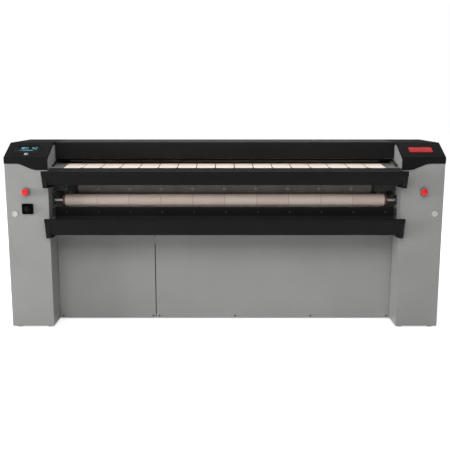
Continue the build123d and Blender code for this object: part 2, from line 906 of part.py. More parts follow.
# Stripper plate above the return roller, on its cross tube
stripper_half = 926.0
stripper_above = 49.0
stripper_tall = 58.0
stripper_low = return_height + stripper_above
stripper_top = stripper_low + stripper_tall
stripper_slot = 13.0
stripper_block = 46.0
stripper_end = 37.0
stripper_block_thick = 17.0
stripper_block_above = 51.0
stripper_block_tall = 57.0
stripper_block_low = return_height + stripper_block_above
stripper_block_top = stripper_block_low + stripper_block_tall
block_near = stripper_half + stripper_slot
block_far = block_near + stripper_block
with BuildPart() as stripper_plate:
    sheet_depth = (stripper_depth, behind_stripper)
    sheet_height = (stripper_low, stripper_top)
    block((-stripper_half, stripper_half), sheet_depth, sheet_height)
    for side in mirrored:
        block(span(side, block_far, block_far + stripper_end), sheet_depth, sheet_height)
finish(stripper_plate, "stripper_plate")

with BuildPart() as stripper_blocks:
    for side in mirrored:
        ends = span(side, block_near, block_far)
        deep = (behind_stripper - stripper_block_thick, behind_stripper)
        block(ends, deep, (stripper_block_low, stripper_block_top))
finish(stripper_blocks, "stripper_blocks")

button_above = 67.0
button_height = return_height + button_above
button_head = 12.5
button_head_thick = 3.0
with BuildPart() as stripper_buttons:
    for place in range(belt_count + 1):
        x = (place - belt_count / 2) * belt_pitch
        front_disc(button_head, x, button_height, stripper_depth, button_head_thick)
finish(stripper_buttons, "stripper_buttons")

# Pan head screws of the chute and of the front panels
screw_head = 5.0
screw_thick = 2.0
chute_screw_below = 75.0
chute_screw_height = return_height - chute_screw_below
chute_screw_shift = 9.0
panel_screw_height = 22.0
panel_screw_head = 6.0
panel_screw_inset = 19.0
left_screws = (-inner_half + panel_screw_inset + panel_side_gap, -panel_split - panel_screw_inset)
right_screw_count = 4
right_first = -panel_split + panel_screw_inset + panel_side_gap
right_last = inner_half - panel_screw_inset - panel_side_gap
with BuildPart() as panel_screws:
    for place in range(belt_count + 1):
        x = (place - belt_count / 2) * belt_pitch + chute_screw_shift
        front_disc(screw_head, x, chute_screw_height, chute_depth, screw_thick)
    for x in left_screws:
        front_disc(panel_screw_head, x, panel_screw_height, panel_depth, screw_thick)
    for place in range(right_screw_count):
        x = right_first + place * (right_last - right_first) / (right_screw_count - 1)
        front_disc(panel_screw_head, x, panel_screw_height, panel_depth, screw_thick)
finish(panel_screws, "panel_screws")

# Heated cylinder: a rolled shell with end plates and hollow journals
cylinder_half = belt_count * belt_pitch / 2 + cylinder_overhang
cylinder_flange_face = frame_face + cylinder_flange_thick + cylinder_boss_length
journal_reach = cylinder_flange_face + 35.0
with BuildPart() as heated_cylinder:
    place = (cylinder_depth, cylinder_height)
    round_bar(cylinder_radius, -cylinder_half, cylinder_half, *place)
    hollow = cylinder_half - end_plate
    round_bar(cylinder_radius - cylinder_wall, -hollow, hollow, *place, Mode.SUBTRACT)
    for side in mirrored:
        round_bar(journal_radius, *span(side, cylinder_half - end_plate, journal_reach), *place)
        cut = span(side, hollow - overrun, journal_reach + overrun)
        round_bar(journal_bore, *cut, *place, Mode.SUBTRACT)
finish(heated_cylinder, "heated_cylinder")

# Heater inside the cylinder: fixed tube, star plates and rod elements
element_count = 6
element_radius = 8.0
element_circle = 110.0
element_short = 60.0
star_count = 4
star_thick = 6.0
star_rim = 22.0
star_arm = 16.0
heater_half = frame_face + heater_length
with BuildPart() as heater_core:
    round_bar(heater_tube, -heater_half, heater_half, cylinder_depth, cylinder_height)
    star_gap = 2 * (cylinder_half - element_short - element_circle) / (star_count - 1)
    for place in range(star_count):
        x = (place - (star_count - 1) / 2) * star_gap - star_thick / 2
        with BuildSketch(side_plane(x)) as star:
            with Locations((cylinder_depth, cylinder_height)):
                Circle(heater_tube + star_arm)
                with PolarLocations(element_circle / 2, element_count):
                    Rectangle(element_circle, star_arm)
                with PolarLocations(element_circle, element_count):
                    Circle(star_rim)
                    Circle(element_radius, mode=Mode.SUBTRACT)
        extrude(star.sketch, amount=star_thick)
finish(heater_core, "heater_core")

with BuildPart() as heating_elements:
    half = cylinder_half - element_short
    with BuildSketch(side_plane(-half)) as rods:
        with Locations((cylinder_depth, cylinder_height)):
            with PolarLocations(element_circle, element_count):
                Circle(element_radius)
    extrude(rods.sketch, amount=2 * half)
finish(heating_elements, "heating_elements")

# Rollers
belted_half = belt_count * belt_pitch / 2
shaft_half = frame_face + bearing_length + shaft_stub
rollers = (
    ("nip_roller", nip_depth, nip_height, nip_radius, roller_shaft, shaft_half),
    ("return_roller", return_depth, return_height, return_radius, return_shaft, frame_face + shaft_stub),
    ("lower_rear_roller", lower_rear_depth, lower_rear_height, rear_radius, roller_shaft, shaft_half),
    ("upper_rear_roller", upper_rear_depth, upper_rear_height, rear_radius, roller_shaft, shaft_half),
    ("feed_front_roller", feed_front_depth, feed_front_height, feed_radius, feed_shaft, shaft_half),
    ("feed_rear_roller", feed_rear_depth, feed_rear_height, feed_radius, feed_shaft, shaft_half),
)
for name, depth, height, radius, shaft, half in rollers:
    with BuildPart() as one_roller:
        drum_half = belted_half + (return_overhang if name == "return_roller" else roller_overhang)
        roller(depth, height, radius, shaft, drum_half, half)
        if name == "return_roller":
            hollow = drum_half - end_plate
            round_bar(radius - roller_wall, -hollow, hollow, depth, height, Mode.SUBTRACT)
            reach = half + overrun
            round_bar(shaft - roller_wall, -reach, reach, depth, height, Mode.SUBTRACT)
    finish(one_roller, name)

# Bearings on the outer faces of the side frames
with BuildPart() as frame_bearings:
    for side in mirrored:
        flange = span(side, frame_face, frame_face + cylinder_flange_thick)
        with BuildSketch(side_plane(flange[0])) as square:
            with Locations((cylinder_depth, cylinder_height)):
                RectangleRounded(cylinder_flange, cylinder_flange, cylinder_flange_thick)
        extrude(square.sketch, amount=flange[1] - flange[0])
        boss = span(side, frame_face, cylinder_flange_face)
        place = (cylinder_depth, cylinder_height)
        round_bar(cylinder_boss, *boss, *place)
        cut = span(side, frame_face - overrun, cylinder_flange_face + overrun)
        round_bar(journal_radius + running_gap, *cut, *place, Mode.SUBTRACT)
        for name, depth, height, radius, shaft, half in rollers:
            if name != "return_roller":
                body = span(side, frame_face, frame_face + bearing_length)
                round_bar(bearing_radius, *body, depth, height)
                cut = span(side, frame_face - overrun, frame_face + bearing_length + overrun)
                round_bar(shaft + running_gap, *cut, depth, height, Mode.SUBTRACT)
finish(frame_bearings, "frame_bearings")

# Two-bolt flange bearings of the return roller, on the inner walls
ear_spacing = 40.0
ear_radius = 9.0
ear_thick = 6.0
ear_boss = 14.0
ear_boss_length = 12.0
bolt_radius = 4.5
bolt_thick = 6.0
with BuildPart() as return_bearings:
    for side in mirrored:
        flange = span(side, inner_half - ear_thick, inner_half)
        with BuildSketch(side_plane(flange[0])) as ears:
            with Locations((return_depth, return_height)):
                Circle(ear_boss)
                with GridLocations(0, ear_spacing, 1, 2):
                    Circle(ear_radius)
            make_hull()
        extrude(ears.sketch, amount=flange[1] - flange[0])
        boss = span(side, inner_half - ear_boss_length, inner_half)
        round_bar(ear_boss, *boss, return_depth, return_height)
        cut = span(side, inner_half - ear_boss_length - overrun, inner_half + overrun)
        round_bar(return_shaft + running_gap, *cut, return_depth, return_height, Mode.SUBTRACT)
finish(return_bearings, "return_bearings")

with BuildPart() as bearing_bolts:
    for side in mirrored:
        head = span(side, inner_half - ear_thick - bolt_thick, inner_half - ear_thick)
        with BuildSketch(side_plane(head[0])) as heads:
            with Locations((return_depth, return_height)):
                with GridLocations(0, ear_spacing, 1, 2):
                    RegularPolygon(bolt_radius, 6)
        extrude(heads.sketch, amount=head[1] - head[0])
finish(bearing_bolts, "bearing_bolts")

# Ironing belts: endless bands round four rollers, wrapped over most of the cylinder
ironing_wheels = [
    (nip_depth, nip_height, nip_radius, 1),
    (cylinder_depth, cylinder_height, cylinder_radius, -1),
    (return_depth, return_height, return_radius, 1),
    (lower_rear_depth, lower_rear_height, rear_radius, 1),
    (upper_rear_depth, upper_rear_height, rear_radius, 1),
]
with BuildPart() as ironing_belts:
    for place in range(belt_count):
        start = (place - belt_count / 2) * belt_pitch + belt_space / 2
        belt_loop(ironing_wheels, belt_gap, belt_thick, start, start + belt_pitch - belt_space)
finish(ironing_belts, "ironing_belts")

# Feed belts round the two feed rollers, over the feed bed
feed_wheels = [
    (feed_front_depth, feed_front_height, feed_radius, 1),
    (feed_rear_depth, feed_rear_height, feed_radius, 1),
]
with BuildPart() as feed_belts:
    for place in range(feed_belt_count):
        start = (place - feed_belt_count / 2) * feed_belt_pitch + feed_belt_space / 2
        end = start + feed_belt_pitch - feed_belt_space
        belt_loop(feed_wheels, belt_gap, belt_thick, start, end)
finish(feed_belts, "feed_belts")


def feed_strip(along_from, along_to, low, high, start, end):
    # Flat piece parallel to the feed belts, placed from the front roller's axis
    ahead = (cos(feed_tilt), sin(feed_tilt))
    above = (-sin(feed_tilt), cos(feed_tilt))
    corners = ((along_from, low), (along_to, low), (along_to, high), (along_from, high))
    points = []
    for along, lift in corners:
        depth = feed_front_depth + along * ahead[0] + lift * above[0]
        height = feed_front_height + along * ahead[1] + lift * above[1]
        points.append((depth, height))
    side_prism(points, start, end)


bed_room = 22.0
bed_thick = 2.0
strip_thick = 2.0
strip_side_gap = 3.0
strip_overhang = 16.0
feed_half = belt_count * belt_pitch / 2
bed_end = hypot(feed_run, feed_rear_height - feed_front_height) - bed_room
with BuildPart() as feed_bed:
    feed_strip(bed_room, bed_end, feed_radius - bed_thick, feed_radius, -inner_half, inner_half)
finish(feed_bed, "feed_bed")

with BuildPart() as side_strips:
    for side in mirrored:
        across = span(side, feed_half + strip_side_gap, inner_half)
        strip_end = bed_end + bed_room + strip_overhang
        feed_strip(-strip_overhang, strip_end, feed_radius, feed_radius + strip_thick, *across)
finish(side_strips, "side_strips")

# Finger guard: a bar under the hood's edge, on two arms that pivot in the inner walls
with BuildPart() as finger_guard:
    bar_half_length = inner_half - guard_stand
    bar_place = (guard_depth + guard_length, guard_height + guard_rise)
    round_bar(guard_bar, -bar_half_length, bar_half_length, *bar_place)
    reach = hypot(guard_length, guard_rise)
    across = guard_arm_width / 2
    nx = -guard_rise / reach * across
    ny = guard_length / reach * across
    arm = (
        (guard_depth + nx, guard_height + ny),
        (guard_depth - nx, guard_height - ny),
        (bar_place[0] - nx, bar_place[1] - ny),
        (bar_place[0] + nx, bar_place[1] + ny),
    )
    for side in mirrored:
        side_prism(arm, *span(side, bar_half_length - guard_arm, bar_half_length))
        pin = span(side, bar_half_length - guard_arm, frame_face)
        round_bar(guard_pin, *pin, guard_depth, guard_height)
        head_end = bar_half_length - guard_arm
        head = span(side, head_end - guard_head_thick, head_end)
        round_bar(guard_head, *head, guard_depth, guard_height)
finish(finger_guard, "finger_guard")

# Drive: gearmotor on the right shelf, chain up to the cylinder's sprocket
chain_pitch = 19.05
drive_teeth = 40
motor_teeth = 15
tooth_height = 5.0
tooth_root = 6.5
sprocket_thick = 11.0
sprocket_stand = 14.0
cylinder_hub = 55.0
motor_hub = 28.0
motor_shaft = 15.0
motor_depth = 330.0
motor_height = 330.0
motor_bore = 40.0
link_height = 7.0
link_thick = 3.0
link_gap = 0.5
link_pin = 3.0
drive_radius = chain_pitch / (2 * sin(pi / drive_teeth))
motor_radius = chain_pitch / (2 * sin(pi / motor_teeth))
sprocket_start = cylinder_flange_face + sprocket_stand
sprocket_end = sprocket_start + sprocket_thick


def toothed_sketch(x, depth, height, radius, teeth):
    # Sprocket outline: a tapered tooth for each pitch
    base_share = 0.36
    tip_share = 0.14
    points = []
    for tooth in range(teeth):
        middle = 2 * pi * tooth / teeth
        step = 2 * pi / teeth
        for share, reach in (
            (-base_share, radius - tooth_root),
            (-tip_share, radius + tooth_height),
            (tip_share, radius + tooth_height),
            (base_share, radius - tooth_root),
        ):
            angle = middle + share * step
            points.append((depth + reach * cos(angle), height + reach * sin(angle)))
    with BuildSketch(side_plane(x)) as outline:
        with BuildLine():
            Polyline(*points, close=True)
        make_face()
    return outline.sketch


with BuildPart() as cylinder_sprocket:
    place = (cylinder_depth, cylinder_height)
    extrude(toothed_sketch(sprocket_start, *place, drive_radius, drive_teeth), amount=sprocket_thick)
    round_bar(cylinder_hub, cylinder_flange_face + loose_gap, sprocket_end, *place)
    cut = (cylinder_flange_face, sprocket_end + overrun)
    round_bar(journal_radius, *cut, *place, Mode.SUBTRACT)
finish(cylinder_sprocket, "cylinder_sprocket")

gearbox_start = sprocket_end + 17.0
with BuildPart() as motor_sprocket:
    place = (motor_depth, motor_height)
    extrude(toothed_sketch(sprocket_start, *place, motor_radius, motor_teeth), amount=sprocket_thick)
    round_bar(motor_hub, sprocket_start - sprocket_stand / 2, sprocket_end + loose_gap, *place)
    round_bar(motor_shaft, sprocket_start - sprocket_stand / 2, gearbox_start + motor_bore, *place)
finish(motor_sprocket, "motor_sprocket")

chain_wheels = [
    (cylinder_depth, cylinder_height, drive_radius - link_height, 1),
    (motor_depth, motor_height, motor_radius - link_height, 1),
]
with BuildPart() as drive_chain:
    left_plate = sprocket_start - link_gap - link_thick
    right_plate = sprocket_end + link_gap
    for start in (left_plate, right_plate):
        belt_loop(chain_wheels, 0, 2 * link_height, start, start + link_thick)
    run = motor_depth - cylinder_depth
    rise = motor_height - cylinder_height
    reach = hypot(run, rise)
    lean = asin((drive_radius - motor_radius) / reach)
    straight = reach * cos(lean)
    pin_count = int(straight / (2 * chain_pitch)) - 1
    heading = atan2(rise, run)
    for sign in (-1, 1):
        normal = heading + sign * (pi / 2 - lean)
        travel = heading - sign * lean
        for step in range(2, pin_count + 1):
            along = step * 2 * chain_pitch
            depth = cylinder_depth + drive_radius * cos(normal) + along * cos(travel)
            height = cylinder_height + drive_radius * sin(normal) + along * sin(travel)
            round_bar(link_pin, left_plate, right_plate + link_thick, depth, height)
finish(drive_chain, "drive_chain")

gearbox_width = 112.0
gearbox_deep = 150.0
gearbox_tall = 180.0
motor_body = 68.0
motor_length = 200.0
motor_round = 10.0
with BuildPart() as gearmotor:
    shelf_top = shelf_height + shelf_thick
    deep = (motor_depth - gearbox_deep / 2, motor_depth + gearbox_deep / 2)
    box = (gearbox_start, gearbox_start + gearbox_width)
    block(box, deep, (shelf_top, shelf_top + gearbox_tall))
    fillet(gearmotor.edges().filter_by(Axis.X), radius=motor_round)
    middle = (box[0] + box[1]) / 2
    front_disc(motor_body, middle, motor_height, deep[1] + motor_length, motor_length)
    cut = (gearbox_start - overrun, gearbox_start + motor_bore + loose_gap)
    round_bar(motor_shaft + running_gap, *cut, motor_depth, motor_height, Mode.SUBTRACT)
finish(gearmotor, "gearmotor")

# Feed motor on the left, on the end of the rear feed roller's shaft
feed_box = 70.0
feed_box_width = 50.0
feed_motor_radius = 34.0
feed_motor_length = 110.0
with BuildPart() as feed_motor:
    near = frame_face + bearing_length
    low = (feed_rear_height - feed_box / 2, feed_rear_height + feed_box / 2)
    deep = (feed_rear_depth - feed_box / 2, feed_rear_depth + feed_box / 2)
    block(span(-1, near, near + feed_box_width), deep, low)
    fillet(feed_motor.edges().filter_by(Axis.X), radius=motor_round)
    barrel = span(-1, near + feed_box_width, near + feed_box_width + feed_motor_length)
    round_bar(feed_motor_radius, *barrel, feed_rear_depth, feed_rear_height)
    cut = span(-1, near - overrun, near + shaft_stub + loose_gap)
    round_bar(feed_shaft + running_gap, *cut, feed_rear_depth, feed_rear_height, Mode.SUBTRACT)
finish(feed_motor, "feed_motor")

# Exhaust fan: scroll housing with a duct to the spigot, wheel and motor
scroll_radius = 110.0
scroll_width = 107.0
scroll_wall = 3.0
duct_half = 60.0
wheel_radius = 88.0
wheel_hub = 16.0
wheel_plate = 3.0
blade_count = 12
blade_thick = 2.5
blade_length = 66.0
blade_inner = 52.0
fan_shaft = 8.0
fan_motor_radius = 45.0
fan_motor_length = 100.0
scroll_far = frame_face + scroll_width
with BuildPart() as fan_housing:
    for radius, half, near, far, mode in (
        (scroll_radius, duct_half, frame_face, scroll_far, Mode.ADD),
        (
            scroll_radius - scroll_wall,
            duct_half - scroll_wall,
            frame_face + scroll_wall,
            scroll_far - scroll_wall,
            Mode.SUBTRACT,
        ),
    ):
        start, end = span(-1, near, far)
        round_bar(radius, start, end, fan_depth, fan_height, mode)
        duct_end = back_face - sheet + (overrun if mode == Mode.SUBTRACT else 0)
        duct = (outlet_height - half, outlet_height + half)
        block((start, end), (fan_depth, duct_end), duct, mode)
    inlet = span(-1, frame_face - overrun, frame_face + scroll_wall + overrun)
    round_bar(fan_inlet, *inlet, fan_depth, fan_height, Mode.SUBTRACT)
    shaft_way = span(-1, scroll_far - scroll_wall - overrun, scroll_far + overrun)
    round_bar(fan_shaft + loose_gap, *shaft_way, fan_depth, fan_height, Mode.SUBTRACT)
finish(fan_housing, "fan_housing")

with BuildPart() as fan_wheel:
    plate_far = scroll_far - scroll_wall - loose_gap
    plate_near = plate_far - wheel_plate
    round_bar(wheel_radius, *span(-1, plate_near, plate_far), fan_depth, fan_height)
    round_bar(wheel_hub, *span(-1, plate_near - blade_length / 2, plate_far), fan_depth, fan_height)
    round_bar(fan_shaft, *span(-1, plate_near, scroll_far + wheel_hub), fan_depth, fan_height)
    blade_span = span(-1, plate_near - blade_length, plate_near)
    with BuildSketch(side_plane(blade_span[0])) as blades:
        with Locations((fan_depth, fan_height)):
            with PolarLocations((wheel_radius + blade_inner) / 2, blade_count):
                Rectangle(wheel_radius - blade_inner - loose_gap, blade_thick, rotation=30)
    extrude(blades.sketch, amount=blade_length)
finish(fan_wheel, "fan_wheel")

with BuildPart() as fan_motor:
    round_bar(
        fan_motor_radius, *span(-1, scroll_far, scroll_far + fan_motor_length), fan_depth, fan_height
    )
    cut = span(-1, scroll_far - overrun, scroll_far + wheel_hub + loose_gap)
    round_bar(fan_shaft + running_gap, *cut, fan_depth, fan_height, Mode.SUBTRACT)
finish(fan_motor, "fan_motor")

with BuildPart() as exhaust_spigot:
    length = column_depth + outlet_length - back_face + sheet
    tube_end = back_face - sheet
    front_disc(outlet_radius, outlet_x, outlet_height, tube_end + length, length)
    with BuildSketch(front_plane(back_face + outlet_flange_thick)) as flange:
        with Locations((outlet_x, outlet_height)):
            Rectangle(outlet_flange, outlet_flange)
    extrude(flange.sketch, amount=outlet_flange_thick)
    cut = length + 2 * overrun
    bore = outlet_radius - outlet_wall
    front_disc(bore, outlet_x, outlet_height, tube_end + length + overrun, cut, Mode.SUBTRACT)
finish(exhaust_spigot, "exhaust_spigot")

# Control cabinet in the left column, on its outer wall
cabinet_wide = 150.0
cabinet_deep = 200.0
cabinet_tall = 390.0
cabinet_depth = 40.0
cabinet_low = 250.0
door_thick = 4.0
door_margin = 10.0
with BuildPart() as control_cabinet:
    outer_wall = outer_half - sheet
    deep = (cabinet_depth, cabinet_depth + cabinet_deep)
    block(span(-1, outer_wall - cabinet_wide, outer_wall), deep, (cabinet_low, cabinet_low + cabinet_tall))
    door_x = span(-1, outer_wall - cabinet_wide - door_thick, outer_wall - cabinet_wide)
    door_deep = (deep[0] + door_margin, deep[1] - door_margin)
    door_tall = (cabinet_low + door_margin, cabinet_low + cabinet_tall - door_margin)
    block(door_x, door_deep, door_tall)
finish(control_cabinet, "control_cabinet")

# Cable gland through the left column back
gland_body = 14.0
gland_length = 12.0
gland_nut = 6.0
gland_mouth = 6.0
with BuildPart() as cable_gland:
    inner_end = back_face - sheet
    front_disc(gland_radius, gland_x, gland_height, back_face, sheet)
    for depth, length in ((back_face + gland_length, gland_length), (inner_end, gland_nut)):
        with BuildSketch(front_plane(depth)) as hexagon_sketch:
            with Locations((gland_x, gland_height)):
                RegularPolygon(gland_body, 6)
        extrude(hexagon_sketch.sketch, amount=length)
    cut = gland_length + gland_nut + sheet + 2 * overrun
    front_disc(gland_mouth, gland_x, gland_height, back_face + gland_length + overrun, cut, Mode.SUBTRACT)
finish(cable_gland, "cable_gland")

# Emergency stops: a collar on the column and a mushroom head that pushes in
with BuildPart() as stop_collars:
    for side in mirrored:
        front_disc(stop_collar, side * stop_x, stop_height, 0, stop_collar_thick)
        front_disc(
            stop_stem + running_gap,
            side * stop_x,
            stop_height,
            overrun,
            stop_collar_thick + 2 * overrun,
            Mode.SUBTRACT,
        )
finish(stop_collars, "stop_collars")

for side, name in sides:
    with BuildPart() as stop_head_part:
        x = side * stop_x
        front_disc(stop_head, x, stop_height, -stop_stand, stop_head_thick)
        crown = stop_head_part.edges().filter_by(GeomType.CIRCLE).sort_by(Axis.Y)[0]
        fillet(crown, radius=stop_dome)
        front_disc(stop_stem, x, stop_height, stop_block, stop_stand + stop_block)
    finish(stop_head_part, f"{name}_stop_head")

# Main switch: a square plate and a knob with a grip
with BuildPart() as switch_plate:
    with BuildSketch(front_plane(0)) as square:
        with Locations((switch_x, switch_height)):
            RectangleRounded(switch_width, switch_tall, switch_corner)
    extrude(square.sketch, amount=switch_thick)
    bore = switch_stem + running_gap
    cut = switch_thick + 2 * overrun
    front_disc(bore, switch_x, switch_height, overrun, cut, Mode.SUBTRACT)
finish(switch_plate, "switch_plate")

with BuildPart() as switch_knob:
    face = -switch_thick - belt_gap
    front_disc(knob_radius, switch_x, switch_height, face, knob_thick)
    with BuildSketch(front_plane(face - knob_thick)) as grip:
        with Locations((switch_x, switch_height)):
            RectangleRounded(knob_grip, 2 * knob_radius - loose_gap, knob_grip / 3)
    extrude(grip.sketch, amount=knob_grip_thick)
    front_disc(switch_stem, switch_x, switch_height, stop_block, stop_block - face)
finish(switch_knob, "switch_knob")

# White plugs in the spare holes of the columns
with BuildPart() as hole_plugs:
    for side in mirrored:
        front_disc(plug_head, side * plug_x, plug_height, 0, plug_head_thick)
        front_disc(plug_stub, side * plug_x, plug_height, plug_length, plug_length)
finish(hole_plugs, "hole_plugs")
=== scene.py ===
import math

import bmesh
import bpy
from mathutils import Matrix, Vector


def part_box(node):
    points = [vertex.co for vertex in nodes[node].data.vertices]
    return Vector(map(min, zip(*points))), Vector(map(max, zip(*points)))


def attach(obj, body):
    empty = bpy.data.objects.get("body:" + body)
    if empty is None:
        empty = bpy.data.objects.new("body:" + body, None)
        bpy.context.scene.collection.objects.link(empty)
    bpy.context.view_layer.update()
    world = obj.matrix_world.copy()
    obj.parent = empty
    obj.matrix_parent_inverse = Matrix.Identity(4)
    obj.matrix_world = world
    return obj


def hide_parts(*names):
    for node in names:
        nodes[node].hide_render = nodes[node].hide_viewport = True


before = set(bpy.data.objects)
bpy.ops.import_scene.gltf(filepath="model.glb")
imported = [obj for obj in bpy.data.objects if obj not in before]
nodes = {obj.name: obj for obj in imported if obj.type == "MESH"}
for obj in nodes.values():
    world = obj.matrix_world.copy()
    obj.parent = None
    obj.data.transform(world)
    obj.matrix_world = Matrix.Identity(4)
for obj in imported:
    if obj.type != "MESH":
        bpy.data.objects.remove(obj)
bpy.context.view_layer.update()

columnFront = -0.305             # Y of the column fronts
sharpAbove = math.radians(35)    # edges steeper than this stay sharp on a smooth piece
grainDepth = 0.0003              # bump distance of a fine grain
print("frame loaded:", len(nodes), "nodes")


def tone(red, green, blue, alpha=1.0):
    # screen values from 0 to 255 become the linear colour that shaders want
    linear = []
    for value in (red, green, blue):
        share = value / 255
        linear.append(share / 12.92 if share <= 0.04045 else ((share + 0.055) / 1.055) ** 2.4)
    return (*linear, alpha)


def addNode(tree, kind, **values):
    node = tree.nodes.new(kind)
    for name, value in values.items():
        if name in node.inputs:
            node.inputs[name].default_value = value
        else:
            setattr(node, name, value)
    return node


def objectPoints(tree, stretch=(1, 1, 1)):
    # object coordinates, stretched for a grain or a brushing direction
    coordinates = tree.nodes.new("ShaderNodeTexCoord")
    mapping = tree.nodes.new("ShaderNodeMapping")
    mapping.inputs["Scale"].default_value = stretch
    tree.links.new(coordinates.outputs["Object"], mapping.inputs["Vector"])
    return mapping.outputs["Vector"]


def noiseValue(tree, points, scale, detail=3.0, roughness=0.5):
    noise = addNode(tree, "ShaderNodeTexNoise", Scale=scale, Detail=detail, Roughness=roughness)
    tree.links.new(points, noise.inputs["Vector"])
    return noise.outputs["Fac"]


def ramp(tree, value, low, high, lowAt=0.3, highAt=0.7):
    node = tree.nodes.new("ShaderNodeValToRGB")
    node.color_ramp.elements[0].position = lowAt
    node.color_ramp.elements[0].color = low
    node.color_ramp.elements[1].position = highAt
    node.color_ramp.elements[1].color = high
    tree.links.new(value, node.inputs["Fac"])
    return node.outputs["Color"]


def grey(value):
    return (value, value, value, 1.0)


def centred(count):
    # whole steps from side to side, with nought in the middle
    return [step - (count - 1) / 2 for step in range(count)]


def bump(tree, height, strength, distance):
    node = addNode(tree, "ShaderNodeBump", Strength=strength, Distance=distance)
    tree.links.new(height, node.inputs["Height"])
    return node.outputs["Normal"]


def shaderOf(material):
    material.use_nodes = True
    return material.node_tree, material.node_tree.nodes["Principled BSDF"]


def surfaceMaterial(name, recipe):
    # colour varied by a broad noise, roughness by a middle one, bump by a fine one
    material = bpy.data.materials.new(name)
    tree, shader = shaderOf(material)
    points = objectPoints(tree, recipe.get("stretch", (1, 1, 1)))
    broad = noiseValue(tree, points, recipe["broad"], 4.0)
    colour = ramp(tree, broad, recipe["dark"], recipe["light"])
    tree.links.new(colour, shader.inputs["Base Color"])
    middle = noiseValue(tree, points, recipe["broad"] * 6, 5.0)
    low, high = recipe["roughness"]
    tree.links.new(ramp(tree, middle, grey(low), grey(high)), shader.inputs["Roughness"])
    fine = noiseValue(tree, points, recipe["fine"], 2.0)
    tree.links.new(bump(tree, fine, recipe["bump"], recipe["depth"]), shader.inputs["Normal"])
    shader.inputs["Metallic"].default_value = recipe.get("metallic", 0.0)
    shader.inputs["Specular IOR Level"].default_value = recipe.get("specular", 0.5)
    return material


